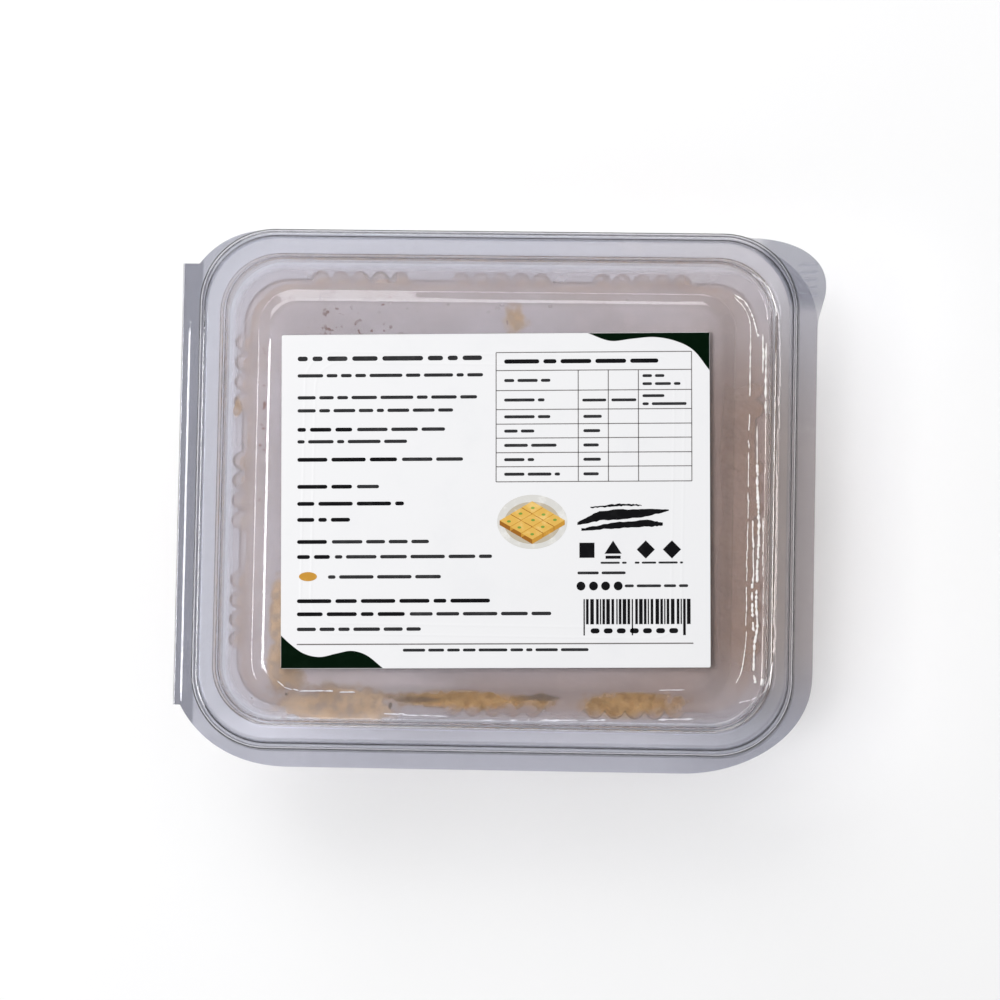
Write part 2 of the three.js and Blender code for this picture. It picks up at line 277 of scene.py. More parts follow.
def object_from(name, vertices, faces, crease=35):
    """A mesh object in metres, smooth except across creases."""
    mesh = bpy.data.meshes.new(name)
    mesh.from_pydata(vertices.tolist(), [], faces)
    mesh.validate()
    mesh.shade_smooth()
    mesh.set_sharp_from_angle(angle=math.radians(crease))
    return linked(name, mesh)


def sheet_object(name, low_rings, high_rings):
    """One closed sheet from its lower and upper rings, each list running from the outside in."""
    each, count = len(low_rings[0]), len(low_rings)
    low_middle = low_rings[-1].mean(axis=0, keepdims=True)
    high_middle = high_rings[-1].mean(axis=0, keepdims=True)
    vertices = to_metres(np.vstack([*high_rings, *low_rings, high_middle, low_middle]))
    low_first, middle = each * count, each * count * 2
    faces = skin_faces(count, each, 0, True) + skin_faces(count, each, low_first, False)
    faces += fan(middle, each * (count - 1), each, True)
    faces += fan(middle + 1, low_first + each * (count - 1), each, False)
    for i in range(each):
        n = (i + 1) % each
        faces.append((low_first + i, low_first + n, n, i))
    made = object_from(name, vertices, faces)
    print(name, "has", len(faces), "faces")
    return made


# %% [markdown]
# ## The flange and its outline
# Both halves end in a flat flange that is cut out by a steel rule, so its outline isn't parallel to
# the rim: it is nearly flush on the far side, wide on the near side, square at the hinge strip, and
# has a rounded lift tab at one corner. The outline is drawn once as a path of curves. Then each ring
# point looks straight out from the middle and takes the place where it meets that path, so that the
# flange keeps the same count of points as the rings inside it.

# %% Draw the outline


def curve_points(start, control_a, control_b, end, steps=16):
    """Points of one Bezier curve, without its first."""
    corners = np.array([start, control_a, control_b, end], float)
    t = np.linspace(0, 1, steps + 1)[1:, None]
    weights = np.hstack([(1 - t) ** 3, 3 * t * (1 - t) ** 2, 3 * t * t * (1 - t), t**3])
    return (weights @ corners).tolist()


HINGE_X = -74.45
HINGE_LOW, HINGE_HIGH = -50.9, 53.2
SHEET_EDGE_X = HINGE_X + 0.02


def flange_outline(hinge_edge, has_tab):
    """The cut edge, anticlockwise, and its four square corners at the hinge strip."""
    path = [[74.7, -42], [74.7, 40]]
    if has_tab:
        path += curve_points((74.7, 40), (75.0, 44), (76.6, 45.5), (76.6, 49.6))
        path += curve_points((76.6, 49.6), (76.6, 56), (70, 60.4), (59.5, 60.6))
        path += curve_points((59.5, 60.6), (57, 60.9), (54, 61.5), (50, 61.5))
    else:
        path += curve_points((74.7, 40), (74.7, 51), (66.5, 59.5), (50, 61.5))
    path += [[-53, 61.5]]
    path += curve_points((-53, 61.5), (-60, 61.5), (-66.5, 59.3), (-71, HINGE_HIGH))
    corners = [(-71, HINGE_HIGH), (hinge_edge, HINGE_HIGH)]
    corners += [(hinge_edge, HINGE_LOW), (-73.2, HINGE_LOW)]
    path += [list(corner) for corner in corners[1:]]
    path += curve_points((-73.2, HINGE_LOW), (-69, -59), (-60, -65), (-48, -65))
    path += [[45, -65]]
    path += curve_points((45, -65), (58, -65), (74.7, -57), (74.7, -42))
    return np.array(path[:-1], float), corners


def ring_on_outline(foot, outline, corners):
    """The foot ring's points moved straight out from the middle onto the outline."""
    around = np.arctan2(outline[:, 1], outline[:, 0])
    order = np.argsort(around)
    outline, around = outline[order], around[order]
    look = np.arctan2(foot[:, 1], foot[:, 0])
    after = np.searchsorted(around, look) % len(around)
    p, q = outline[after - 1], outline[after]
    way = np.column_stack([np.cos(look), np.sin(look)])
    step = q - p
    far = (p[:, 0] * step[:, 1] - p[:, 1] * step[:, 0]) / (way[:, 0] * step[:, 1] - way[:, 1] * step[:, 0])
    edge = way * far[:, None]
    for corner in corners:
        edge[np.argmin(np.hypot(*(edge - corner).T))] = corner
    return edge


FLANGE_STEPS = 12


def flange_rings(foot, outline, corners, z):
    """Rings from the cut edge in to the foot of the rim."""
    edge = ring_on_outline(foot, outline, corners)
    rings = []
    for i in range(FLANGE_STEPS):
        flat = edge + (foot[:, :2] - edge) * (i / FLANGE_STEPS)
        rings.append(np.column_stack([flat, np.full(len(flat), z)]))
    return rings


print("the lid's outline has", len(flange_outline(SHEET_EDGE_X, True)[0]), "points")

# %% [markdown]
# ## The lid
# From the flange the lid climbs to a hollow rim, drops to a recess, and rises again to the flat panel
# that carries the label, which has a shallow pressed rectangle in it. The panel sits a touch low and
# left of the rim's middle, as the picture shows. The hinge strip has one pressed groove along it.

# %% Form the lid
PANEL_SHIFT = (-0.4, -0.9)
LID_LOW = FLANGE_Z + TOUCH_GAP / 2
LID_SECTION = [
    (-0.1, -0.45, LID_LOW, 0, 0, 0),
    (0.45, 0.0, LID_LOW, 0, 0, 0),
    (0.8, 0.35, 33.25, 0, 0, 0),
    (1.5, 1.0, 33.95, 0, 0, 0),
    (5.5, 5.4, 33.95, 0, 0, 0),
    (6.3, 6.2, 33.25, 0, 0, 0),
    (6.8, 6.7, 31.05, 0, 0, 0),
    (7.4, 7.3, 30.45, 0, 0, 0),
    (14.8, 13.2, 30.45, 0, *PANEL_SHIFT),
    (17.3, 15.7, 31.75, 0, *PANEL_SHIFT),
    (26.1, 28.0, 31.75, 0, *PANEL_SHIFT),
    (28.5, 30.4, 31.25, 0, *PANEL_SHIFT),
]
LID_BENDS = (0.7, 0.7, 0.7, 0.7, 0.7, 0.7, 0.7, 0.3, 0.9, 0.6)
LID_THICKNESS = ((0.5, 1.4), (SHEET, 0.36))
LID_RIPPLE = 0.035
RIM_WIDTH = 7.7


def press_groove(points):
    """The groove along the hinge strip, which helps the strip to fold straight."""
    inside = (points[:, 1] > HINGE_LOW) & (points[:, 1] < HINGE_HIGH)
    points[:, 2] -= inside * 0.14 * np.exp(-(((points[:, 0] + 73.4) / 0.4) ** 2))
    return points


def shrink_to_middle(last, steps):
    """More rings from the last one in towards its middle, to carry the sheet's faint waves."""
    middle = last.mean(axis=0)
    return [middle + (last - middle) * (1 - i / steps) for i in range(1, steps)]


def formed_rings(plan, rows, steps_in, amount):
    """The rings of one face, with the faint waves on all that lies inside the stiff rim."""
    rings = [ring(plan, *row) for row in rows]
    insets = [row[0] for row in rows] + [99] * (steps_in - 1)
    rings += shrink_to_middle(rings[-1], steps_in)
    return [ripple(points, amount * (inset > RIM_WIDTH)) for points, inset in zip(rings, insets)]


def form_lid():
    """The lid as one closed sheet."""
    low_rows = rounded(LID_SECTION, LID_BENDS)
    high_rows = other_face(low_rows, np.interp(low_rows[:, 0], *LID_THICKNESS))
    outline, corners = flange_outline(SHEET_EDGE_X, True)
    faces = []
    for rows, z in ((low_rows, LID_LOW), (high_rows, LID_LOW + SHEET)):
        rings = formed_rings(LID_PLAN, rows, 6, LID_RIPPLE)
        flange = flange_rings(rings[0], outline, corners, z)
        faces.append([press_groove(points) for points in flange] + rings)
    return sheet_object("lid_sheet", *faces)


lid_sheet = form_lid()
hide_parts("lid")
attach(lid_sheet, "lid")

# %% [markdown]
# ## The base tray
# The base has a flange under the lid's, a hollow bead round its mouth that nests in the lid's rim, a
# ledge, and walls with groups of upright flutes that stiffen them. Where a flute meets the ledge it
# draws a row of small scallops, which the picture shows well.

# %% Form the base
BASE_LOW = FLANGE_Z - TOUCH_GAP / 2 - SHEET
FLUTE_DEPTH = 1.9
WALL_TOP = (9.9, 10.5)
BASE_SECTION = [
    (0.6, 0.6, BASE_LOW, 0, 0, 0),
    (1.3, 1.3, BASE_LOW, 0, 0, 0),
    (1.7, 1.7, 32.1, 0, 0, 0),
    (2.2, 2.2, 32.6, 0, 0, 0),
    (4.5, 4.9, 32.6, 0, 0, 0),
    (5.0, 5.4, 32.1, 0, 0, 0),
    (5.6, 6.0, 30.0, 0, 0, 0),
    (6.1, 6.5, 24.3, 0, 0, 0),
    (6.6, 7.0, 23.8, 0, 0, 0),
    (*WALL_TOP, 23.8, FLUTE_DEPTH, 0, 0),
    (11.4, 11.4, 5.6, FLUTE_DEPTH * 0.75, 0, 0),
    (11.7, 11.7, 3.4, 0, 0, 0),
    (12.6, 12.6, 0.9, 0, 0, 0),
    (14.4, 14.4, 0.0, 0, 0, 0),
]
BASE_THICKNESS = ((1.3, 2.1, 4.6, 6.0, 9.9, 11.4), (SHEET, 0.34, 0.34, 0.28, 0.28, 0.16))


def form_base():
    """The base as one closed sheet, its flange a hair inside the lid's."""
    low_rows = rounded(BASE_SECTION, 0.6, steps=3)
    high_rows = other_face(low_rows, np.interp(low_rows[:, 0], *BASE_THICKNESS))
    outline, corners = flange_outline(SHEET_EDGE_X, False)
    faces = []
    for rows, z in ((low_rows, BASE_LOW), (high_rows, BASE_LOW + SHEET)):
        rings = formed_rings(BASE_PLAN, rows, 3, 0.0)
        faces.append(flange_rings(rings[0], outline, corners, z) + rings)
    return sheet_object("base_sheet", *faces)


base_sheet = form_base()
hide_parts("base_tray")
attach(base_sheet, "tray")

# %% [markdown]
# ## The hinge fold
# The two halves are one sheet, folded along the left side. The fold is a half tube between the two
# flanges. The two sheets end a hair inside the fold, so that their edges don't meet when the lid lies
# open.

# %% Make the fold
FOLD_OUTER, FOLD_INNER = 0.45, 0.2
FOLD_ANGLES = np.radians(np.linspace(-85, -275, 15))
FOLD_STEPS_ALONG = 60


def form_fold():
    """A half tube along the hinge, closed at its ends and edges."""
    section = [(FOLD_OUTER * math.cos(a), FOLD_OUTER * math.sin(a)) for a in FOLD_ANGLES]
    section += [(FOLD_INNER * math.cos(a), FOLD_INNER * math.sin(a)) for a in FOLD_ANGLES[::-1]]
    each = len(section)
    vertices = []
    for y in np.linspace(HINGE_LOW, HINGE_HIGH, FOLD_STEPS_ALONG):
        vertices += [(HINGE_X + dx, y, FLANGE_Z + dz) for dx, dz in section]
    faces = skin_faces(FOLD_STEPS_ALONG, each, 0, True)
    faces.append(tuple(range(each))[::-1])
    faces.append(tuple(range(each * (FOLD_STEPS_ALONG - 1), each * FOLD_STEPS_ALONG)))
    made = object_from("hinge_fold", to_metres(vertices), faces)
    mesh = bmesh.new()
    mesh.from_mesh(made.data)
    bmesh.ops.recalc_face_normals(mesh, faces=mesh.faces)
    mesh.to_mesh(made.data)
    mesh.free()
    return made


hinge_fold = form_fold()
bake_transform(hinge_fold)

# %% [markdown]
# ## The grip ridges
# Five short ridges on the lift tab keep a thumb from slipping. Each is a half round bar with rounded
# ends, squashed from a sphere's profile, and all five are one mesh.

# %% Make the ridges
RIDGE_COUNT, RIDGE_PITCH, RIDGE_LENGTH, RIDGE_RADIUS = 5, 1.75, 4.6, 0.5
RIDGE_X, RIDGE_LOW_Y = 72.4, 47.5
RIDGE_STEPS, RIDGE_SIDES = 22, 14
RIDGE_FLATTENED, RIDGE_GAP = 0.5, 0.02


def form_ridges():
    """Low half-round bars along X, closed below."""
    vertices, faces = [], []
    floor = LID_LOW + SHEET + RIDGE_GAP
    for number in range(RIDGE_COUNT):
        y = RIDGE_LOW_Y + number * RIDGE_PITCH
        first = len(vertices)
        for i in range(RIDGE_STEPS + 1):
            along = -math.cos(math.pi * i / RIDGE_STEPS)
            radius = RIDGE_RADIUS * max(1 - abs(along) ** 7, 0.02) ** 0.5
            for k in range(RIDGE_SIDES + 1):
                a = math.pi * k / RIDGE_SIDES
                x = RIDGE_X + along * RIDGE_LENGTH / 2
                height = RIDGE_FLATTENED * radius * math.sin(a)
                vertices.append((x, y - radius * math.cos(a), floor + height))
        each = RIDGE_SIDES + 1
        for i in range(RIDGE_STEPS):
            a = first + i * each
            faces += [(a + k, a + k + each, a + k + each + 1, a + k + 1) for k in range(RIDGE_SIDES)]
            faces.append((a + RIDGE_SIDES, a + RIDGE_SIDES + each, a + each, a))
        faces.append(tuple(range(first, first + each)))
        last = first + RIDGE_STEPS * each
        faces.append(tuple(range(last, last + each))[::-1])
    return object_from("grip_ridges", to_metres(vertices), faces)


grip_ridges = form_ridges()
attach(grip_ridges, "lid")
print("ridges:", RIDGE_COUNT, "with", len(grip_ridges.data.polygons), "faces")

# %% [markdown]
# ## The kalakand
# Kalakand is milk cooked down with sugar until it sets in soft grains. Here one mass of it fills the
# tray, higher on the near side, where it is pressed into the flutes. Sculpting would suit a single
# picture, but a height made from a few waves and grain noise is the same on every run. Its side
# reaches a hair into the wall, so that no air gap shows between food and plastic.

# %% The sweet's height
rng = random.Random(7)
SWEET_LUMPS = ((0.11, 0.07, 0.6, 0.55), (-0.06, 0.16, 2.1, 0.45), (0.23, -0.19, 4.0, 0.3))


def wave_noise(x, y, size, seed):
    """Smooth seeded noise from -1 to 1, from waves in many directions about one size."""
    source = np.random.default_rng(seed)
    total = np.zeros_like(x)
    for _ in range(14):
        angle = source.uniform(0, 2 * math.pi)
        length = size * source.uniform(0.6, 1.7)
        wave = (x * math.cos(angle) + y * math.sin(angle)) * 2 * math.pi / length
        total += np.sin(wave + source.uniform(0, 2 * math.pi))
    return total / 5


def smooth_step(value, low, high):
    """0 up to the low limit, 1 from the high one on, and a soft rise between."""
    t = np.clip((value - low) / (high - low), 0, 1)
    return t * t * (3 - 2 * t)


def sweet_height(x, y):
    """The top of the sweet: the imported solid's soft form, with lumps and grains on it."""
    height = 18.6 + 4.3 * smooth_step(-y, 18, 47.5) + 0.9 * x / RIM_HALF[0]
    for across, along, phase, rise in SWEET_LUMPS:
        height += rise * np.sin(across * x + along * y + phase)
    height += 0.35 * wave_noise(x, y, 9, 1)
    height += 0.3 * np.abs(wave_noise(x, y, 3.4, 2)) - 0.15
    return height + 0.16 * wave_noise(x, y, 1.5, 3)


# %% Form the sweet
SWEET_PLAN = BASE_PLAN[::2]
SWEET_RINGS, SIDE_RINGS = 84, 22
SWEET_FOOT, SIDE_START = (14.65, 14.65, 0.25), 0.7
EDGE_HEIGHT, EDGE_ROUND = 20, 0.8
INTO_WALL = 0.25
WALL_ROWS = np.array(BASE_SECTION[:8:-1])


def wall_inset(z):
    """How far in the wall's inner face is at a height, on the short and the long sides, and the
    depth of its flutes there."""
    inset_x, inset_y, heights, depths = WALL_ROWS.T[:4]
    across, along = (np.interp(z, heights, inset) + INTO_WALL for inset in (inset_x, inset_y))
    return across, along, np.interp(z, heights, depths)


def flute_fill(points):
    """How much of each flute the sweet fills: nearly all, with a hollow here and there."""
    patchy = 0.5 + 0.5 * wave_noise(points[:, 0], points[:, 1], 16, 5)
    return np.clip(0.75 + 0.4 * patchy, 0, 1)


def form_sweet():
    """Rings up the side from the floor, then in across the uneven top."""
    edge = ring(SWEET_PLAN, *wall_inset(EDGE_HEIGHT)[:2], 0)
    fill = flute_fill(edge)
    top_z = sweet_height(edge[:, 0], edge[:, 1]) - EDGE_ROUND
    rings = [ring(SWEET_PLAN, *SWEET_FOOT)]
    for share in np.linspace(0, 1, SIDE_RINGS):
        z = SIDE_START + (top_z - SIDE_START) * share
        inset_x, inset_y, depth = wall_inset(z)
        rings.append(ring(SWEET_PLAN, inset_x, inset_y, z, depth * fill))
    rim = rings[-1]
    for i in range(SWEET_RINGS):
        share = 1 - ((i + 0.35) / SWEET_RINGS)
        points = rim * (share, share, 1)
        soft_edge = EDGE_ROUND * (1 - smooth_step(i + 0.35, 0, 2.4))
        points[:, 2] = sweet_height(points[:, 0], points[:, 1]) - soft_edge
        rings.append(points)
    each = len(SWEET_PLAN)
    middle = np.array([[0, 0, sweet_height(np.zeros(1), np.zeros(1))[0]]])
    foot = rings[0].mean(axis=0, keepdims=True)
    vertices = to_metres(np.vstack([*rings, middle, foot]))
    faces = skin_faces(len(rings), each, 0, True)
    faces += fan(each * len(rings), each * (len(rings) - 1), each, True)
    faces += fan(each * len(rings) + 1, 0, each, False)
    return object_from("kalakand_mass", vertices, faces, crease=80)


kalakand_mass = form_sweet()
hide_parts("kalakand")
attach(kalakand_mass, "tray")
print("the sweet has", len(kalakand_mass.data.polygons), "faces")

# %% Loose grains on the sweet
GRAIN_COUNT = 420
GRAIN_REACH = (57, 47)


def add_lump(shape, move):
    """Adds a ball to a bmesh; move turns each of its points into a place in millimetres."""
    start = len(shape.verts)
    bmesh.ops.create_icosphere(shape, subdivisions=2, radius=1.0)
    shape.verts.ensure_lookup_table()
    for vertex in shape.verts[start:]:
        vertex.co = to_metres([move(vertex.co)])[0]


def object_of(name, shape, smooth=True):
    """An object of a bmesh, which is freed."""
    mesh = bpy.data.meshes.new(name)
    shape.to_mesh(mesh)
    shape.free()
    if smooth:
        mesh.shade_smooth()
    return linked(name, mesh)


def form_grains():
    """Small set curds that lie on the mass, as one mesh of seeded lumps."""
    lumps = bmesh.new()
    for _ in range(GRAIN_COUNT):
        x, y = (rng.uniform(-reach, reach) for reach in GRAIN_REACH)
        size = rng.uniform(0.3, 1.0)
        z = float(sweet_height(np.array([x]), np.array([y]))[0]) + size * 0.15
        stretch = [size * rng.uniform(0.7, 1.3) for _ in range(3)]
        phase = rng.uniform(0, 6)

        def uneven(c):
            swell = 1 + 0.16 * math.sin(3.1 * c.x + phase) * math.cos(2.7 * c.y + 2 * phase)
            across, along = c.x * stretch[0] * swell, c.y * stretch[1] * swell
            return across + x, along + y, c.z * stretch[2] * 0.7 + z

        add_lump(lumps, uneven)
    return object_of("kalakand_grains", lumps)


kalakand_grains = form_grains()
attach(kalakand_grains, "tray")
print("the grains have", len(kalakand_grains.data.polygons), "faces")

# %% [markdown]
# ## The mist under the lid
# Warm sweet and a cool lid leave a thin film of mist and milk fat on the lid's underside. It is what
# makes the food look pale and blurred. Rough glass would blur it too, but a film of its own can be
# thick in one place and wiped clean in another, and it stays a plain see-through surface that other
# programs can read. So it is a very thin closed sheet a hair under the lid. It climbs to the panel
# more gently than the lid does, because a steep strip of film would draw a dark band there.

# %% Form the film
FILM_GAP, FILM_THICKNESS = 0.09, 0.04
FILM_RISE = [
    (7.0, 7.0, 30.45, 0, 0, 0),
    LID_SECTION[8],
    (20.3, 18.9, 31.75, 0, *PANEL_SHIFT),
]


def form_film():
    """A thin sheet inside the rim that rises under the panel more gently than the lid does."""
    rows = rounded(FILM_RISE + LID_SECTION[10:], (2.0, 2.0, 0.6))
    rows[:, 2] -= FILM_GAP + FILM_THICKNESS
    upper = rows.copy()
    upper[:, 2] += FILM_THICKNESS
    faces = [formed_rings(LID_PLAN, part, 6, LID_RIPPLE) for part in (rows, upper)]
    return sheet_object("lid_mist", *faces)


lid_mist = form_film()
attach(lid_mist, "lid")

# %% [markdown]
# ## The label
# The label is a printed film sticker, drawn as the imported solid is: a thin flat sheet with just
# rounded corners. Its print is laid on it as very thin flat shapes. An image would be the usual way,
# but flat shapes stay sharp at any size. Lines of print are plain bars, the way a designer blocks
# out text, and the picture is a generic one.

# %% The label's sheet
LABEL_CENTRE = (0.2, -2.2)
LABEL_SIZE = (100.3, 78.3)
LABEL_PIXELS = (281, 334, 709, 667)
PANEL_RISE = 4.2
LABEL_LOW = FLANGE_Z + PANEL_RISE + TOUCH_GAP
LABEL_TOP = LABEL_LOW + 0.3
LABEL_CORNER = 0.4


def turned(x, y):
    """A place on the label, from its own straight axes to the box's."""
    c, s = math.cos(PICTURE_TURN), math.sin(PICTURE_TURN)
    return LABEL_CENTRE[0] + x * c - y * s, LABEL_CENTRE[1] + x * s + y * c


def on_label(x, y):
    """A place on the label from the same place on the picture of it."""
    left, top, right, bottom = LABEL_PIXELS
    across = (x - (left + right) / 2) / (right - left)
    up = ((top + bottom) / 2 - y) / (bottom - top)
    return turned(across * LABEL_SIZE[0], up * LABEL_SIZE[1])


def slab(mesh, outline, low, high):
    """Adds a flat closed slab with this outline, given anticlockwise, to a bmesh."""
    below = [mesh.verts.new(to_metres([(x, y, low)])[0]) for x, y in outline]
    above = [mesh.verts.new(to_metres([(x, y, high)])[0]) for x, y in outline]
    for a, b, c in tessellate_polygon([[Vector((x, y, 0)) for x, y in outline]]):
        p, q, r = (Vector((*outline[i], 0)) for i in (a, b, c))
        if (q - p).cross(r - p).z < 0:
            b, c = c, b
        mesh.faces.new((above[a], above[b], above[c]))
        mesh.faces.new((below[c], below[b], below[a]))
    for i in range(len(outline)):
        n = (i + 1) % len(outline)
        mesh.faces.new((below[i], below[n], above[n], above[i]))


def flat_object(name, outlines, low, high):
    """One mesh of flat slabs."""
    mesh = bmesh.new()
    for outline in outlines:
        slab(mesh, outline, low, high)
    return object_of(name, mesh, smooth=False)


def rounded_outline(half_x, half_y, corner, steps=5):
    """A rounded rectangle round the label's middle."""
    points = []
    for number, (sx, sy) in enumerate(((1, 1), (-1, 1), (-1, -1), (1, -1))):
        for i in range(steps + 1):
            a = math.radians(90 * (number + i / steps))
            x = sx * (half_x - corner) + corner * math.cos(a)
            y = sy * (half_y - corner) + corner * math.sin(a)
            points.append(turned(x, y))
    return points


label_sheet = flat_object(
    "label_sheet",
    [rounded_outline(LABEL_SIZE[0] / 2, LABEL_SIZE[1] / 2, LABEL_CORNER)],
    LABEL_LOW,
    LABEL_TOP,
)
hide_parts("label")
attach(label_sheet, "lid")
print("the label is", LABEL_SIZE, "mm")

# %% [markdown]
# ## The print
# Every mark is placed by its place in the picture. Lines of small print become word-like bars, with
# seeded lengths, as thick as the lower-case letters would be.

# %% Marks that the print is made of
INK_RISE = 0.025


def bar(left, top, right, bottom):
    """A straight bar between places in the picture, as an anticlockwise outline."""
    return [on_label(*p) for p in ((left, bottom), (right, bottom), (right, top), (left, top))]


def word(left, middle, right, height, steps=5):
    """A bar with round ends, as long as one word."""
    half = min(height, right - left) / 2
    turns = [math.pi * i / steps for i in range(steps + 1)]
    end = [(right - half + half * math.sin(a), middle + half * math.cos(a)) for a in turns]
    start = [(left + half - half * math.sin(a), middle - half * math.cos(a)) for a in turns]
    return [on_label(*p) for p in end + start]


def word_bars(left, middle, right, height, letter=3.4):
    """A line of bars as long as words would be."""
    bars, x = [], left
    while x < right - letter:
        length = min(letter * rng.randint(2, 9), right - x)
        if right - x - length < 2 * letter:
            length = right - x
        bars.append(word(x, middle, x + length, height))
        x += length + letter * 0.9
    return bars


def disc(x, y, radius_x, radius_y=None, steps=28):
    """A round or oval mark."""
    radius_y = radius_y or radius_x
    angles = [2 * math.pi * i / steps for i in range(steps)]
    return [on_label(x + radius_x * math.cos(a), y - radius_y * math.sin(a)) for a in angles]


# %% The small print
# Each line: its middle, left and right ends, height, and where its bold words end.
LINES = (
    (358, 297, 482, 6.4, 0), (375, 297, 483, 4.6, 0), (397, 297, 477, 4.6, 0),
    (410, 297, 453, 4.6, 0), (429, 297, 445, 4.8, 352), (441, 297, 407, 4.6, 0),
    (459, 297, 463, 4.8, 397), (486, 297, 379, 4.8, 352), (503, 297, 407, 4.8, 404),
    (519, 297, 352, 4.8, 350), (541, 297, 429, 4.8, 327), (556, 297, 492, 4.8, 330),
    (576, 328, 441, 4.8, 0), (600, 297, 492, 4.8, 490), (613, 297, 551, 4.8, 405),
    (628, 297, 421, 4.8, 0), (649, 403, 588, 4.0, 0), (573, 577, 625, 3.8, 0),
    (586, 624, 687, 3.8, 0),
)
BOLD_HEIGHT, BOLD_LETTER = 0.8, 0.9
PLAIN_HEIGHT, PLAIN_LETTER = 0.72, 0.8
ink, soft_ink = [], []
for middle, left, right, height, bold_end in LINES:
    if bold_end:
        ink += word_bars(left, middle, bold_end, height * BOLD_HEIGHT, height * BOLD_LETTER)
        left = bold_end + height
    soft_ink += word_bars(left, middle, right, height * PLAIN_HEIGHT, height * PLAIN_LETTER)
print("bars of small print:", len(ink) + len(soft_ink))

# %% The ruled table
ROWS = (353, 371, 391, 410, 424.5, 438.5, 453, 467, 482)
COLUMNS = (496, 578, 608, 638, 691)
HALF_RULE = 0.45
NOTES = ((642, 377, 664), (642, 385, 680), (582, 401, 606), (611, 401, 636), (642, 397, 664), (642, 405, 686))
table_lines = [bar(COLUMNS[0], y - HALF_RULE, COLUMNS[-1], y + HALF_RULE) for y in ROWS]
for x in COLUMNS[::4] + COLUMNS[1:-1]:
    top = ROWS[0] if x in COLUMNS[::4] else ROWS[1]
    table_lines.append(bar(x - HALF_RULE, top, x + HALF_RULE, ROWS[-1]))
table_lines.append(bar(297, 642.4, 692, 643.6))
ink += word_bars(504, 362, 658, 4.2, 4.4)
for top, bottom in zip(ROWS[1:], ROWS[2:]):
    middle = (top + bottom) / 2
    soft_ink += word_bars(504, middle, 504 + rng.uniform(30, 66), 3.0)
    if top > 400:
        soft_ink += word_bars(583, middle, 583 + rng.uniform(14, 20), 3.0)
for x, y, end in NOTES:
    soft_ink += word_bars(x, y, end, 2.8, 3.2)
print("rules in the table:", len(table_lines))

# %% Stripes, dots and plain signs
STRIPE_WIDTHS, STRIPE_GAPS = (1.3, 2.6, 1.3, 3.6, 1.3, 2.6, 2.0), (1.2, 2.2, 1.2, 1.6, 1.2)
STRIPES_FROM, STRIPES_TO, STRIPES_END = 583.0, 687, 690
LONG_STRIPES = (0, 12, 25)
x, number = STRIPES_FROM, 0
while x < STRIPES_TO:
    width = STRIPE_WIDTHS[(number * 5 + number // 4) % 7]
    ink.append(bar(x, 599, min(x + width, STRIPES_END), 635 if number in LONG_STRIPES else 624))
    x += width + STRIPE_GAPS[(number * 3) % 5]
    number += 1
ink += [word(590 + 13 * i, 630.5, 599 + 13 * i, 5) for i in range(7)]
ink += [disc(x, 586, 4.4) for x in (580.5, 593, 605, 617.5)]
ink += [bar(579, 543, 594, 558), bar(605, 556, 620, 559)]
ink.append([on_label(*p) for p in ((604, 554), (621, 554), (612.5, 541))])
for x in (645, 671):
    ink.append([on_label(*p) for p in ((x - 9, 550), (x, 559), (x + 9, 550), (x, 541))])
for left, right in ((600, 626), (634, 682)):
    soft_ink += word_bars(left, 563, right, 2, 2.4)
sign = [disc(308, 575.5, 9, 4.5)]
print("stripes:", number)

# %% Three brush strokes


def brush_stroke(spine, widths, seed, steps=26):
    """A stroke whose edges wander, thin at both ends, as an outline on the label."""
    wander = random.Random(seed)
    t = np.linspace(0, 1, steps)
    marks = np.linspace(0, 1, len(spine))
    x = np.interp(t, marks, [p[0] for p in spine])
    y = np.interp(t, marks, [p[1] for p in spine])
    half = np.interp(t, np.linspace(0, 1, len(widths)), widths) / 2
    below = [(x[i], y[i] + half[i] + wander.uniform(-0.5, 0.5)) for i in range(steps)]
    above = [(x[i], y[i] - half[i] + wander.uniform(-0.5, 0.5)) for i in range(steps)]
    return [on_label(*p) for p in below + above[::-1]]


STROKES = (
    ([(577, 524), (600, 516), (640, 514), (668, 511)], (3, 9, 10, 7, 2), 3),
    ([(581, 530), (612, 526), (646, 524), (662, 525)], (2, 6, 7, 3), 5),
    ([(590, 508), (620, 505.5), (641, 506)], (1.2, 2.6, 1.2), 8),
)
ink += [brush_stroke(*stroke) for stroke in STROKES]
print("dark marks in all:", len(ink))

# %% The green corner fields


def smooth_run(points, steps=8):
    """A soft line through places in the picture."""
    points = np.array(points, float)
    padded = np.vstack([2 * points[0] - points[1], points, 2 * points[-1] - points[-2]])
    line = []
    for a, b, c, d in zip(padded, padded[1:], padded[2:], padded[3:]):
        for t in np.linspace(0, 1, steps, endpoint=False):
            bend = (2 * a - 5 * b + 4 * c - d) * t**2 + (3 * b - a - 3 * c + d) * t**3
            line.append(0.5 * (2 * b + (c - a) * t + bend))
    return [tuple(p) for p in line] + [tuple(points[-1])]


def field(outline):
    """A colour field from places in the picture, as an anticlockwise outline on the label."""
    placed = [on_label(x, y) for x, y in outline]
    area = sum(p[0] * q[1] - q[0] * p[1] for p, q in zip(placed, placed[1:] + placed[:1]))
    return placed if area > 0 else placed[::-1]


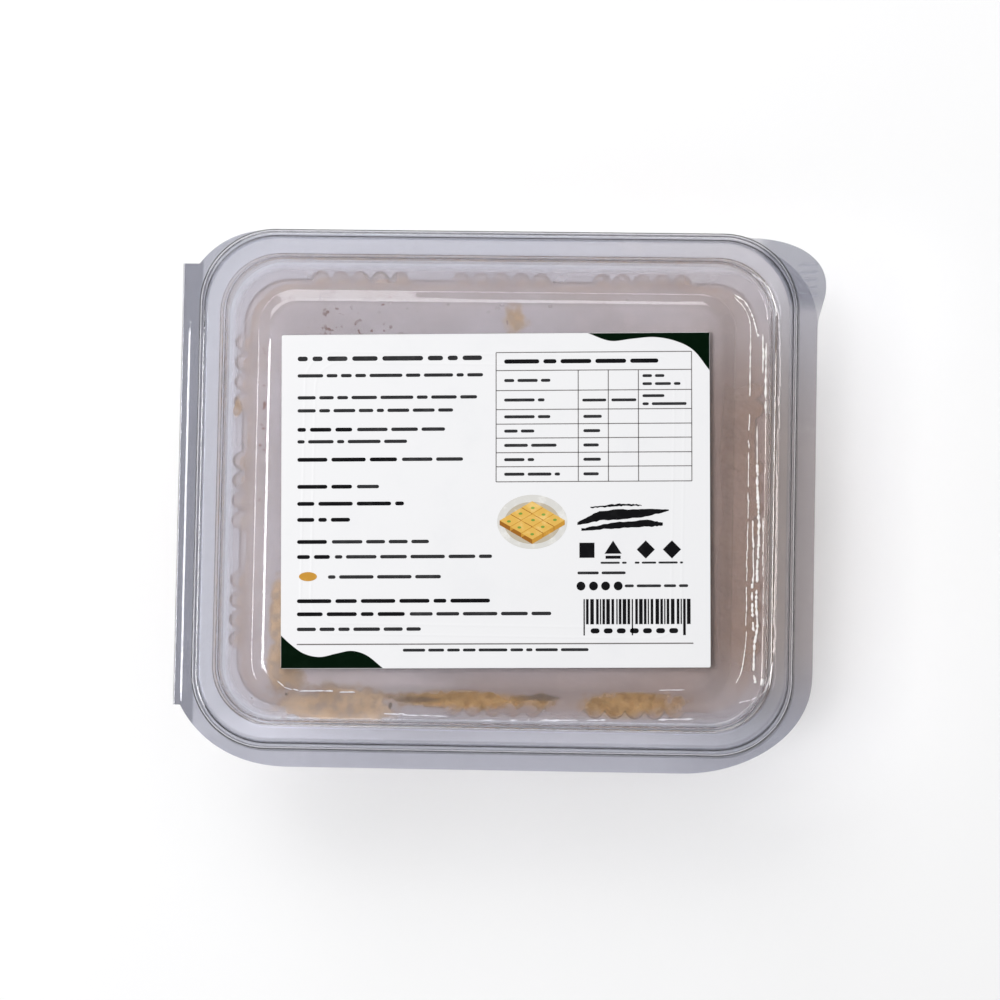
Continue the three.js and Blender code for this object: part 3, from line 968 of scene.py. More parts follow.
FAR_WAVE = [(588, 334.3), (610, 342), (632, 340), (654, 338.5), (675, 342.5), (693, 352), (708.8, 372)]
NEAR_WAVE = [
    (281.2, 634), (291, 643), (304, 652), (320, 655.5), (337, 652), (352, 649.5), (367, 654), (383, 666.7),
]
corner_fields = [
    field(smooth_run(wave) + [corner])
    for wave, corner in ((FAR_WAVE, (708.8, 334.3)), (NEAR_WAVE, (281.2, 666.7)))
]
print("points round the fields:", [len(outline) for outline in corner_fields])

# %% A plate of diamond cuts, drawn as a generic picture
plate = [disc(532, 522, 35, 27, steps=44)]
plate_shade = [disc(532, 523, 28, 21, steps=40)]
CUT_HALF, CUT_DEEP = (10.5, 6.0), 4.5
CUT_STEPS = ((0, -1), (-0.5, -0.5), (0.5, -0.5), (-1, 0), (0, 0), (1, 0), (-0.5, 0.5), (0.5, 0.5), (0, 1))
cut_tops, cut_sides, cut_ends, cut_nuts = [], [], [], []
for across, down in CUT_STEPS:
    x, y = 532 + 22 * across, 520.5 + 13 * down
    w, h = CUT_HALF
    cut_tops.append(field([(x - w, y), (x, y - h), (x + w, y), (x, y + h)]))
    cut_sides.append(field([(x - w, y), (x, y + h), (x, y + h + CUT_DEEP), (x - w, y + CUT_DEEP)]))
    cut_ends.append(field([(x, y + h), (x + w, y), (x + w, y + CUT_DEEP), (x, y + h + CUT_DEEP)]))
    cut_nuts.append(disc(x + rng.uniform(-2, 2), y + rng.uniform(-1, 1), 2.0, 1.2, steps=10))
print("diamond cuts on the plate:", len(CUT_STEPS))

# %% Lay the print on the label
PRINT = (
    ("print_fields", corner_fields, "green"),
    ("print_marks", ink, "ink"),
    ("print_lines", soft_ink, "soft_ink"),
    ("print_rules", table_lines, "rule"),
    ("print_plate", plate, "plate"),
    ("print_plate_shade", plate_shade, "plate_shade"),
    ("print_cut_sides", cut_sides, "dark_gold"),
    ("print_cut_ends", cut_ends, "mid_gold"),
    ("print_cut_tops", cut_tops, "gold"),
    ("print_cut_nuts", cut_nuts, "nut_green"),
    ("print_sign", sign, "mid_gold"),
)
printed = {}
for level, (name, outlines, colour) in enumerate(PRINT):
    rise = INK_RISE * (1 + 0.25 * max(level - 4, 0))
    piece = flat_object(name, outlines, LABEL_TOP - 0.01, LABEL_TOP + rise)
    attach(piece, "lid")
    printed[name] = (piece, colour)
print("layers of print:", len(printed))

# %% [markdown]
# ## Droplets and painted highlights
# A few beads of water hang under the lid. Each is a flattened round drop, and all of them are one
# mesh. They come in loose groups where the picture shows them. Along the recess the bends catch
# the lamps in thin broken white lines, and these are painted highlights: long flat milky beads that
# follow soft lines, the white ones on the lid's upper face and the hazy ones under it. A particle
# system could scatter such beads, but lines of them are easier to place one by one.

# %% Make the droplets
# Each group: its middle and its spread in the picture, and its count of drops.
DROP_GROUPS = (
    (352, 329, 40, 5, 34), (360, 308, 40, 10, 8), (262, 665, 4, 4, 2), (562, 704, 2, 1, 1),
    (574, 700, 2, 1, 1), (588, 701, 2, 1, 1), (606, 702, 2, 1, 1), (716, 667, 3, 4, 2),
    (691, 703, 2, 2, 1), (730, 610, 4, 4, 1), (450, 296, 150, 60, 24),
)
DROP_REACH = (60, 51)
DROP_HEIGHT = 31.0
CORNER_MIDDLE = (50.9, 41.3)
CORNER_REACH = 19.7
PANEL_INSET = 30


def lid_under(x, y):
    """The height of the lid's underside at a place, read off the lid's section."""
    past_x, past_y = max(abs(x) - CORNER_MIDDLE[0], 0), max(abs(y) - CORNER_MIDDLE[1], 0)
    inset = CORNER_REACH - math.hypot(past_x, past_y) if past_x or past_y else PANEL_INSET
    insets = [(row[0] + row[1]) / 2 for row in LID_SECTION[2:10]]
    return float(np.interp(inset, insets, [row[2] for row in LID_SECTION[2:10]]))


def form_drops():
    """Small flattened drops under the lid."""
    drops = bmesh.new()
    for px, py, spread_x, spread_y, count in DROP_GROUPS:
        for _ in range(count):
            x, y = seen_at(rng.gauss(px, spread_x / 2), rng.gauss(py, spread_y / 2), DROP_HEIGHT)
            if abs(x) > DROP_REACH[0] or abs(y) > DROP_REACH[1]:
                continue
            size = rng.uniform(0.16, 0.42)
            z = lid_under(x, y) - 0.19 - size * 0.5
            longer = size * rng.uniform(0.9, 1.6)
            add_lump(drops, lambda c: (c.x * longer + x, c.y * size + y, c.z * size * 0.5 + z))
    return object_of("droplets", drops)


droplets = form_drops()
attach(droplets, "lid")
print("the droplets have", len(droplets.data.polygons), "faces")

# %% Painted highlights along the recess
# Each line: places in the picture, the share of it that carries beads, and its beads' half width.
WHITE_PAINTED_HIGHLIGHTS = (
    (((735, 298), (744, 309), (750, 323), (751, 340)), 0.95, 0.12),
    (((750.5, 340), (749.5, 397)), 1.0, 0.22),
    (((748.7, 404), (747.5, 505), (745.5, 580), (744.5, 640), (742, 662)), 0.85, 0.13),
    (((742, 662), (740, 673), (735, 683)), 0.7, 0.14),
    (((735, 296), (745, 303), (752, 317), (758, 338)), 1.0, 0.18),
    (((763, 336), (762.5, 374)), 0.9, 0.24),
    (((766, 345), (765, 415)), 0.9, 0.26),
    (((756.5, 428), (756.5, 466)), 0.9, 0.15),
    (((756.5, 466), (757, 496), (758, 527), (757, 557)), 1.0, 0.34),
    (((757, 557), (755, 603), (756, 628), (753, 645), (752, 671)), 0.95, 0.32),
    (((752, 522), (752.5, 578)), 0.8, 0.22),
    (((751.5, 578), (751, 603), (752, 632)), 0.9, 0.3),
    (((762, 520), (762, 640)), 0.6, 0.13),
    (((752, 676), (754, 683)), 1.0, 0.36),
    (((761, 680), (760, 685)), 1.0, 0.3),
    (((278, 680), (282, 684), (288, 687), (298, 689.5)), 0.9, 0.16),
    (((300, 690), (333, 690)), 1.0, 0.24),
    (((341, 691), (355, 691)), 0.9, 0.17),
)
HAZY_PAINTED_HIGHLIGHTS = (
    (((752, 275), (764, 285), (773, 303), (778, 325), (779, 388)), 0.95, 0.2),
    (((777, 388), (778, 430)), 0.6, 0.2),
    (((776, 430), (775, 466)), 0.8, 0.16),
    (((775, 466), (775, 497), (774, 562), (772, 612)), 1.0, 0.24),
    (((772, 612), (772, 645), (767, 681), (757, 697), (738, 703)), 0.9, 0.2),
    (((360, 691), (470, 690.5)), 0.4, 0.14),
    (((557, 691), (575, 691.5)), 0.9, 0.2),
    (((587, 691.5), (595, 691.5)), 0.9, 0.2),
    (((625, 691), (631, 691)), 0.9, 0.2),
    (((643, 691), (683, 690)), 0.7, 0.18),
    (((384, 713), (447, 716)), 0.6, 0.16),
    (((480, 720), (528, 720)), 0.6, 0.22),
    (((540, 720), (605, 720)), 0.7, 0.22),
    (((657, 720), (692, 719)), 0.8, 0.22),
)
LID_OVER = 0.4


def add_highlight_bead(mesh, middle, way, length, width, over):
    """A long flattened bead of painted highlight that lies on the lid, or hangs under it."""
    x, y = middle
    face = ripple(np.array([[x, y, lid_under(x, y)]]), LID_RIPPLE)[0, 2]
    top = face + LID_OVER + 1.2 * width if over else face - 0.02
    bend = rng.uniform(-0.25, 0.25)

    def flattened(c):
        along = c.x * length / 2
        aside = c.y * width * (1 + 0.3 * math.sin(5 * c.x + bend * 9)) + bend * width * c.x**2
        rise = (math.copysign(abs(c.z) ** 0.5, c.z) - 1) * width * 0.6
        return x + along * way[0] - aside * way[1], y + along * way[1] + aside * way[0], top + rise

    add_lump(mesh, flattened)


def form_painted_highlight_beads():
    """Broken runs of painted highlight beads along soft lines in the picture."""
    mesh = bmesh.new()
    for number, (path, share, width) in enumerate(WHITE_PAINTED_HIGHLIGHTS + HAZY_PAINTED_HIGHLIGHTS):
        line = np.array([seen_at(*p, lid_under(*from_picture(*p))) for p in smooth_run(path)])
        far = np.concatenate([[0], np.cumsum(np.hypot(*np.diff(line, axis=0).T))])
        longest = 1.6 if len(path) > 2 else 3.2
        along = 0.0
        while along < far[-1]:
            length = min(rng.uniform(0.5, longest) * (0.6 + share), far[-1] - along + 0.3)
            start, end = (
                np.array([np.interp(t, far, line[:, axis]) for axis in (0, 1)])
                for t in (along, along + length)
            )
            if rng.random() < share and (end != start).any():
                middle = (start + end) / 2 + rng.gauss(0, 0.05)
                way = (end - start) / np.hypot(*(end - start))
                over = number < len(WHITE_PAINTED_HIGHLIGHTS)
                add_highlight_bead(mesh, middle, way, length * 1.1, width * rng.uniform(0.65, 1.1), over)
            along += length * rng.uniform(0.75, 1.1)
    return object_of("painted_highlight_beads", mesh)


painted_highlight_beads = form_painted_highlight_beads()
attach(painted_highlight_beads, "lid")
print("the beads have", len(painted_highlight_beads.data.polygons), "faces")

# %% [markdown]
# ## Node helpers
# Materials are graphs of small steps. These helpers place a node, set its inputs by name, and join
# it to others, so that each material below reads as a short recipe.

# %% Place and join nodes


def place(tree, kind, inputs=None, **settings):
    """Adds a node; an input may be a plain value or another node's output."""
    made = tree.nodes.new(kind)
    for key, value in settings.items():
        setattr(made, key, value)
    for key, value in (inputs or {}).items():
        if isinstance(value, bpy.types.NodeSocket):
            tree.links.new(value, made.inputs[key])
        else:
            made.inputs[key].default_value = value
    return made


def maths(tree, operation, a, b=0.0, c=0.0, clamp=False):
    """The result of one Math node."""
    return place(tree, "ShaderNodeMath", {0: a, 1: b, 2: c}, operation=operation, use_clamp=clamp).outputs[0]


def times(tree, *values):
    """The product of all the values."""
    product = values[0]
    for value in values[1:]:
        product = maths(tree, "MULTIPLY", product, value)
    return product


def vectors(tree, operation, first, second=(0, 0, 0)):
    """The result of one Vector Math node."""
    node = place(tree, "ShaderNodeVectorMath", {0: first, 1: second}, operation=operation)
    return node.outputs["Value" if operation == "LENGTH" else "Vector"]


def blend_colours(tree, share, first, second):
    """Two colours mixed by a share."""
    return place(tree, "ShaderNodeMix", {0: share, 6: first, 7: second}, data_type="RGBA").outputs[2]


def spread(tree, value, low, high, out_low=0.0, out_high=1.0, kind="SMOOTHSTEP"):
    """A value between two limits, spread between two others."""
    limits = {0: value, 1: low, 2: high, 3: out_low, 4: out_high}
    return place(tree, "ShaderNodeMapRange", limits, interpolation_type=kind).outputs[0]


def straight(tree, mask, at_none, at_full):
    """A value that follows a mask in a straight line."""
    return spread(tree, mask, 0, 1, at_none, at_full, kind="LINEAR")


def ramps(tree, axes, *rows):
    """The product of ramps: each row is an axis, the ramp's two ends and, if given, its two values."""
    return times(tree, *(spread(tree, axes[axis], *ends) for axis, *ends in rows))


def noise(tree, where, scale, detail=2.0, **more):
    """The grey value of a Noise texture."""
    inputs = {"Vector": where, "Scale": scale, "Detail": detail, **more}
    return place(tree, "ShaderNodeTexNoise", inputs).outputs[0]


def places(tree):
    """The place on the piece, in metres of the shared frame."""
    return place(tree, "ShaderNodeTexCoord").outputs["Object"]


def axes_of(tree, vector):
    """A vector's three numbers."""
    return place(tree, "ShaderNodeSeparateXYZ", {0: vector}).outputs


print("node helpers are ready")

# %% Masks and materials
ANY_HEIGHT = 9.0


def past_rectangle(tree, where, centre, half_x, half_y, corner):
    """How far out a place is from the straight-edged middle of a rounded rectangle."""
    middle = [(RIM_MIDDLE[axis] + centre[axis]) * MM for axis in (0, 1)]
    folded = vectors(tree, "ABSOLUTE", vectors(tree, "SUBTRACT", where, (*middle, 0)))
    inner = ((half_x - corner) * MM, (half_y - corner) * MM, ANY_HEIGHT)
    past = vectors(tree, "MAXIMUM", vectors(tree, "SUBTRACT", folded, inner))
    return vectors(tree, "LENGTH", past)


def within(tree, where, centre, half_x, half_y, corner, soft):
    """A mask that is 1 inside a rounded rectangle and fades past it."""
    far = past_rectangle(tree, where, centre, half_x, half_y, corner)
    return spread(tree, far, corner * MM, (corner - soft) * MM)


def new_group(name, inputs, outputs):
    """A shader node group with named inputs and outputs."""
    group = bpy.data.node_groups.new(name, "ShaderNodeTree")
    for label, value in inputs.items():
        socket = group.interface.new_socket(label, in_out="INPUT", socket_type="NodeSocketFloat")
        socket.default_value = value
    for label, kind in outputs.items():
        group.interface.new_socket(label, in_out="OUTPUT", socket_type=kind)
    return group, place(group, "NodeGroupInput").outputs, place(group, "NodeGroupOutput").inputs


def new_material(name):
    """An empty material and its node tree."""
    material = bpy.data.materials.new(name)
    material.use_nodes = True
    material.node_tree.nodes.clear()
    return material, material.node_tree


def surface(tree, inputs):
    """A Principled shader."""
    return place(tree, "ShaderNodeBsdfPrincipled", inputs).outputs[0]


def clear_to_lamps(tree, shader, tint):
    """The shader, swapped for a tinted Transparent one for rays that look for lamps."""
    lamps = place(tree, "ShaderNodeBsdfTransparent", {"Color": tint}).outputs[0]
    looking = place(tree, "ShaderNodeLightPath").outputs["Is Shadow Ray"]
    return place(tree, "ShaderNodeMixShader", {0: looking, 1: shader, 2: lamps}).outputs[0]


def show(tree, shader):
    """Joins a shader to the material's output."""
    place(tree, "ShaderNodeOutputMaterial", {"Surface": shader})


def dress(piece, material):
    """Puts one material on a piece."""
    piece.data.materials.clear()
    piece.data.materials.append(material)


print("mask and material helpers are ready")

# %% [markdown]
# ## Shared effect: handled plastic
# Formed sheet is never perfectly clean. Faint smudges of grease make it a little rougher here and
# there, and its tone drifts slightly. The sheet, the droplets and the label all use this effect, each
# with its own strength.

# %% Build the smudge group


def build_smudges():
    """Puts out a roughness and a mask that change over the surface."""
    group, given, put = new_group(
        "smudges",
        {"Size": 160.0, "Clean": 0.02, "Smudged": 0.16},
        {"Roughness": "NodeSocketFloat", "Mask": "NodeSocketFloat"},
    )
    mask = spread(group, noise(group, places(group), given["Size"], 4.0, Roughness=0.6), 0.48, 0.72)
    rougher = maths(group, "SUBTRACT", given["Smudged"], given["Clean"])
    rough = maths(group, "MULTIPLY_ADD", mask, rougher, given["Clean"])
    group.links.new(rough, put["Roughness"])
    group.links.new(mask, put["Mask"])
    return group


def smudged(tree, **strengths):
    """The smudge group's outputs, at the strengths given."""
    return place(tree, "ShaderNodeGroup", strengths, node_tree=smudges).outputs


smudges = build_smudges()
print("smudge inputs:", [s.name for s in smudges.interface.items_tree if s.in_out == "INPUT"])

# %% [markdown]
# ## Clear formed sheet
# The real sheet is clear PET. Seen straight on it only tints what is behind it a little, and at its
# bends it mirrors the lamps. Glass in the Principled BSDF does both, because each face bends the
# light. On top of that the tint carries painted light: a steep wall gets a painted pale tone where it
# faces the eye and a painted dark tone where it is seen edge-on, darkest on the lid's far side and along
# the base's wall head; Layer Weight tells the two apart. The tint is also painted warmer and paler on
# the opening side, paler on the near side, and darker on the hinge strip, the lift tab and the near
# flange. Plain glass would also throw hard, noisy shadows on the food, so for rays that look for lamps
# the material swaps itself for a lightly tinted Transparent shader.

# %% Make the clear sheet
# Each ramp: its axis (0 for X, 1 for Y, 2 for Z), its two ends in metres, and its value at each end.
OPENING_SIDE = (0.0, 0.072)
WAVER = 0.012
# Painted warm light: the sheets' tint turns warmer and paler towards the opening side.
WARM_PAINTED_LIGHT_PART = ((1, -0.055, -0.03), (1, 0.05, 0.01, 0.3, 1.0))
# Painted light: the tint is paler on the near side, over the shade that the sweet casts under the near rim.
NEAR_PAINTED_LIGHT_PART = ((1, -0.049, -0.0545), (0, 0.066, 0.03), (0, -0.066, -0.045, 0.3, 1.0))
# Painted shade: a dark line along the bend where the base's walls meet its ledge.
WALL_HEAD = ((2, 0.0212, 0.0222), (2, 0.0242, 0.0238))
# The flange's deeper tint is partly the thicker, unstretched sheet and partly painted shade, strongest on the
# hinge strip, the lift tab and the near flange.
HINGE_STRIP = (0, -0.0705, -0.0715)
LIFT_TAB = ((0, 0.058, 0.064), (1, 0.043, 0.05))
NEAR_FLANGE_SHADE = (1, -0.05, -0.058, 0.0, 0.38)
# Painted shade: steep walls on the far side are darkest when seen edge-on.
FAR_WALL = (1, 0.054, 0.06)
LEVEL, EDGE_ON = (0.25, 0.75), (0.3, 0.62)
RIM_INSIDE = ((0, 0), 68.4, 58.8, 16.5, 0.5)
WALL_HEAD_PAINTED_SHADE = (0.4, 0.37, 0.36, 1)
FACING_WALL_PAINTED_TONE = (0.8, 0.805, 0.83, 1)


def make_clear_sheet(name, cool, warm, thick_sheet_and_shade, near, edge_on_painted_tone, far_edge_on_painted_tone, lamp_tint):
    """Clear PET, cool at the hinge, with painted warm light on the opening side and painted light on the
    near side, deeper in the flange (partly thicker sheet, partly painted shade), and painted wall tones by
    view angle."""
    material, tree = new_material(name)
    film = smudged(tree)
    spot = place(tree, "ShaderNodeTexCoord").outputs
    axes = axes_of(tree, spot["Object"])
    inside = within(tree, spot["Object"], *RIM_INSIDE)
    level = spread(tree, maths(tree, "ABSOLUTE", axes_of(tree, spot["Normal"])[2]), *LEVEL)

    # Painted warm light towards the opening side, its edge wavering with the smudges.
    wavering = maths(tree, "MULTIPLY_ADD", film["Mask"], WAVER, axes[0])
    painted_warm_light = times(tree, spread(tree, wavering, *OPENING_SIDE), ramps(tree, axes, *WARM_PAINTED_LIGHT_PART))
    # Deeper tint in the flange: thicker sheet, and painted shade on the hinge strip, lift tab and near
    # flange.
    flange = maths(tree, "ADD", ramps(tree, axes, HINGE_STRIP), ramps(tree, axes, *LIFT_TAB))
    flange = maths(tree, "MAXIMUM", spread(tree, flange, 0, 1, 0.3, 1.0), ramps(tree, axes, NEAR_FLANGE_SHADE))
    flange = times(tree, flange, maths(tree, "SUBTRACT", 1.0, inside))
    tone = blend_colours(tree, painted_warm_light, cool, warm)
    # Painted light on the near side.
    tone = blend_colours(tree, ramps(tree, axes, *NEAR_PAINTED_LIGHT_PART), tone, near)
    tone = blend_colours(tree, flange, tone, thick_sheet_and_shade)

    # Painted light and shade by view angle: steep walls take a pale tone where they face the eye and a dark
    # one where they are seen edge-on.
    facing = place(tree, "ShaderNodeLayerWeight", {"Blend": 0.5}).outputs["Facing"]
    wall = blend_colours(tree, ramps(tree, axes, FAR_WALL), edge_on_painted_tone, far_edge_on_painted_tone)
    wall = blend_colours(tree, spread(tree, facing, *EDGE_ON), FACING_WALL_PAINTED_TONE, wall)
    tone = blend_colours(tree, maths(tree, "MAXIMUM", level, inside), wall, tone)
    # Painted shade along the base's wall head.
    bend = times(tree, ramps(tree, axes, *WALL_HEAD), maths(tree, "SUBTRACT", 1.0, level))
    tone = blend_colours(tree, bend, tone, WALL_HEAD_PAINTED_SHADE)
    glass = surface(
        tree, {"Base Color": tone, "Roughness": film["Roughness"], "IOR": 1.5, "Transmission Weight": 1.0}
    )
    show(tree, clear_to_lamps(tree, glass, lamp_tint))
    return material


# Each set: cool tint, painted warm light, flange tone (thicker sheet and painted shade), painted near-side
# light, painted edge-on and far edge-on wall tones, and the tint for rays that look for lamps.
LID_TONES = (
    (0.675, 0.68, 0.735, 1), (0.79, 0.735, 0.72, 1), (0.44, 0.445, 0.49, 1), (0.885, 0.89, 0.96, 1),
    (0.16, 0.15, 0.165, 1), (0.04, 0.037, 0.043, 1), (0.93, 0.93, 0.935, 1),
)
BASE_TONES = (
    (0.86, 0.865, 0.9, 1), (0.92, 0.885, 0.875, 1), (0.7, 0.705, 0.75, 1), (0.93, 0.93, 0.96, 1),
    (0.85, 0.85, 0.87, 1), (0.85, 0.85, 0.87, 1), (0.96, 0.96, 0.965, 1),
)
RIDGE_TONES = ((0.88, 0.88, 0.91, 1),) * 6 + ((0.98, 0.98, 0.98, 1),)
lid_clear = make_clear_sheet("clear_lid_sheet", *LID_TONES)
base_clear = make_clear_sheet("clear_base_sheet", *BASE_TONES)
ridge_clear = make_clear_sheet("clear_ridges", *RIDGE_TONES)
dress(lid_sheet, lid_clear)
dress(grip_ridges, ridge_clear)
dress(base_sheet, base_clear)
dress(hinge_fold, base_clear)
print("clear pieces dressed")

# %% Make the droplets' water
WATER_TONES = (0.95, 0.94, 0.93, 1), (0.8, 0.77, 0.75, 1)
WATER_LAMP_TINT = (0.85, 0.84, 0.84, 1)


def make_water(name, clear):
    """Beads with a milky cast; clear is how much of the light passes them."""
    material, tree = new_material(name)
    film = smudged(tree, Size=900.0, Clean=0.02, Smudged=0.1)
    tone = blend_colours(tree, film["Mask"], *WATER_TONES)
    drop = surface(
        tree, {"Base Color": tone, "Roughness": film["Roughness"], "IOR": 1.33, "Transmission Weight": clear}
    )
    show(tree, clear_to_lamps(tree, drop, WATER_LAMP_TINT))
    return material


dress(droplets, make_water("clear_droplets", 1.0))
# Painted highlights: the milky beads stand in for the lamps' glints along the recess.
dress(painted_highlight_beads, make_water("painted_highlight_white", 0.15))
print("drops and beads dressed")

# %% [markdown]
# ## Mist and smears
# The film's cover changes over the lid: thin over the ledge, thick on the hinge side, thinner towards
# the opening side, wiped away where food touched the plastic, and tan where a little sweet stuck to
# it. Each place is an oval that fades at its edge, broken up by noise, and small dark beads of ghee
# sit at the label's top edge. Its tone also carries painted light: a darker, warm painted shade on the
# opening side, and a paler patch of painted light over the label's shadow below its lower left. One
# film with a changing Alpha costs far less than fog or many drops.

# %% Places on the film
# Each mist field: its shift from the rim's middle, half sizes, corner and soft edge. Each oval: its
# middle and half sizes in the picture. Each ramp is as for the clear sheet.
MIST_REACH = ((1.6, -0.3), 64.8, 53.9, 13.5, 2.2)
MIST_DEEP = ((2.7, -1.6), 62.2, 51.2, 12.5, 3.6)
ON_PANEL = (PANEL_SHIFT, 54.0, 46.0, 8.0, 2.0)
SMEARS = ((278, 609, 7, 30), (284, 668, 20, 26), (516, 318, 16, 18), (236, 405, 5, 11), (332, 706, 68, 17))
TOUCHES = ((492, 699, 74, 8), (618, 702, 48, 11), (440, 698, 48, 7))
# Painted light: a paler patch below the label's lower left, over the label's shadow.
LABEL_SHADOW_PAINTED_LIGHT = ((345, 679, 80, 13),)
SPECKLED = ((362, 328, 40, 6), (345, 312, 22, 9), (388, 300, 14, 8), (500, 322, 10, 6), (262, 420, 6, 60))
STAINS = ((415, 698, 20, 3), (540, 696, 24, 3.5), (390, 704, 2.2, 3.5), (286, 692, 1.5, 1.5))
# Painted shade: the film turns darker and warmer towards the opening side.
WARM_PAINTED_SHADE_MIST = ((0, 0.0, 0.062), (1, 0.045, 0.018), (1, -0.047, -0.03, 0.25, 1.0))
NEAR_MIST = ((1, -0.034, -0.044), (0, -0.03, 0.0, 0.05, 1.0), (0, 0.054, 0.042))
NEAR_THINNER = (1, -0.042, 0.0, 0.95, 1.0)
TOUCH_START = (1, -0.0442, -0.0452)


def any_oval(tree, where, ovals, soft, ragged):
    """A mask of several ovals together, each 1 inside and 0 past its ragged edge."""
    together = 0.0
    for px, py, half_x, half_y in ovals:
        x, y = from_picture(px, py)
        middle = ((x + RIM_MIDDLE[0]) * MM, (y + RIM_MIDDLE[1]) * MM, 0)
        larger = (1 / (half_x * PIXEL * MM), 1 / (half_y * PIXEL * MM), 0)
        sized = vectors(tree, "MULTIPLY", vectors(tree, "SUBTRACT", where, middle), larger)
        far = maths(tree, "ADD", vectors(tree, "LENGTH", sized), ragged)
        together = maths(tree, "MAXIMUM", spread(tree, far, 1 + soft, 1 - soft), together)
    return together


print("smears:", len(SMEARS), "touches:", len(TOUCHES), "stains:", len(STAINS))

# %% Make the mist
MIST_TONES = (0.55, 0.5, 0.49, 1), (0.61, 0.555, 0.545, 1)
# The warm tone is painted shade and the pale tone is painted light.
WARM_PAINTED_SHADE_TONE, NEAR_TONE, PAINTED_LIGHT_TONE = (0.39, 0.305, 0.275, 1), (0.5, 0.4, 0.355, 1), (0.69, 0.6, 0.56, 1)
GOLDEN_TONES, SPECK_TONE = ((0.48, 0.265, 0.075, 1), (0.76, 0.45, 0.15, 1)), (0.95, 0.42, 0.05, 1)
TAN_TONES = (0.5, 0.345, 0.205, 1), (0.62, 0.44, 0.265, 1)
STAIN_TONE, BEAD_TONE = (0.14, 0.1, 0.07, 1), (0.2, 0.11, 0.085, 1)


def make_mist():
    """A pale film with tan smears, see-through by its Alpha, with painted shade and painted light in its
    tone.
    """
    material, tree = new_material("mist_and_smears")
    where = places(tree)
    axes = axes_of(tree, where)
    wide, fine = noise(tree, where, 55.0, 4.0), noise(tree, where, 420.0, 5.0)
    ragged = times(tree, maths(tree, "SUBTRACT", wide, 0.5), 2.0)
    ragged = maths(tree, "ADD", maths(tree, "SUBTRACT", fine, 0.5), ragged)

    # warm is the mask of the painted shade on the opening side.
    warm, near = ramps(tree, axes, *WARM_PAINTED_SHADE_MIST), ramps(tree, axes, *NEAR_MIST)
    touch = any_oval(tree, where, TOUCHES, 0.5, times(tree, ragged, 1.6))
    touch = times(tree, touch, ramps(tree, axes, TOUCH_START))
    smear = any_oval(tree, where, SMEARS, 0.35, times(tree, ragged, 1.5))
    smear = times(tree, smear, spread(tree, fine, 0.3, 0.6, 0.75, 1.0))
    # Painted light over the label's shadow.
    pale = any_oval(tree, where, LABEL_SHADOW_PAINTED_LIGHT, 0.6, ragged)
    stain = times(tree, any_oval(tree, where, STAINS, 0.5, ragged), 0.75)
    beads = spread(tree, noise(tree, where, 620.0, 1.0), 0.63, 0.7)
    beads = times(tree, beads, any_oval(tree, where, SPECKLED, 0.5, ragged))

    cover = times(
        tree,
        straight(tree, warm, 0.68, 0.55),
        within(tree, where, *MIST_REACH),
        straight(tree, within(tree, where, *MIST_DEEP), 0.76, 1.0),
        straight(tree, within(tree, where, *ON_PANEL), 0.8, 1.0),
        ramps(tree, axes, NEAR_THINNER),
        spread(tree, wide, 0.25, 0.7, 0.86, 1.08),
        straight(tree, touch, 1.0, 0.75),
    )
    cover = maths(tree, "MAXIMUM", cover, times(tree, smear, 0.76), clamp=True)
    cover = maths(tree, "MAXIMUM", cover, times(tree, beads, 0.9))

    golden = blend_colours(tree, spread(tree, fine, 0.35, 0.65), *GOLDEN_TONES)
    golden = blend_colours(tree, spread(tree, noise(tree, where, 1900.0), 0.64, 0.7), golden, SPECK_TONE)
    tan = blend_colours(tree, spread(tree, noise(tree, where, 210.0, 3.0), 0.4, 0.6), *TAN_TONES)
    tone = blend_colours(tree, fine, *MIST_TONES)
    for share, colour in (
        (warm, WARM_PAINTED_SHADE_TONE), (near, NEAR_TONE), (pale, PAINTED_LIGHT_TONE), (touch, golden),
        (smear, tan), (stain, STAIN_TONE), (beads, BEAD_TONE),
    ):
        tone = blend_colours(tree, share, tone, colour)
    rough = spread(tree, fine, 0.2, 0.8, 0.5, 0.8)
    show(tree, surface(tree, {"Base Color": tone, "Roughness": rough, "Alpha": cover}))
    return material


dress(lid_mist, make_mist())
print("the film is dressed")

# %% [markdown]
# ## Kalakand's finish
# Cooked milk curds are cream to tan, darker and more golden where the sugar has browned, and moist.
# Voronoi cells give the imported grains, and noise gives the drift from cream to brown. The same
# recipe dresses the mass and the loose grains.

# %% Make the kalakand
CREAM_TO_BROWN = (0.62, 0.39, 0.17, 1), (0.5, 0.265, 0.085, 1)
CURD_TONE = (0.72, 0.52, 0.28, 1)


def make_kalakand():
    """Moist, grainy milk fudge."""
    material, tree = new_material("kalakand_grain")
    where = places(tree)
    cells = place(
        tree,
        "ShaderNodeTexVoronoi",
        {"Vector": where, "Scale": 620.0, "Randomness": 1.0, "Smoothness": 0.6},
        feature="SMOOTH_F1",
    ).outputs["Distance"]
    fine = noise(tree, where, 1500.0, 4.0)
    browned = spread(tree, noise(tree, where, 70.0, 5.0), 0.42, 0.66)
    tone = blend_colours(tree, browned, *CREAM_TO_BROWN)
    tone = blend_colours(tree, spread(tree, cells, 0.55, 0.1, 0.0, 0.75), tone, CURD_TONE)
    height = maths(tree, "SUBTRACT", fine, times(tree, cells, 1.6))
    bump = place(tree, "ShaderNodeBump", {"Height": height, "Strength": 0.7, "Distance": 0.0006})
    look = {
        "Base Color": tone,
        "Roughness": spread(tree, fine, 0.3, 0.7, 0.32, 0.6),
        "Normal": bump.outputs[0],
        "Subsurface Weight": 0.25,
        "Subsurface Radius": (0.004, 0.0025, 0.0015),
        "Subsurface Scale": 0.5,
    }
    show(tree, surface(tree, look))
    return material


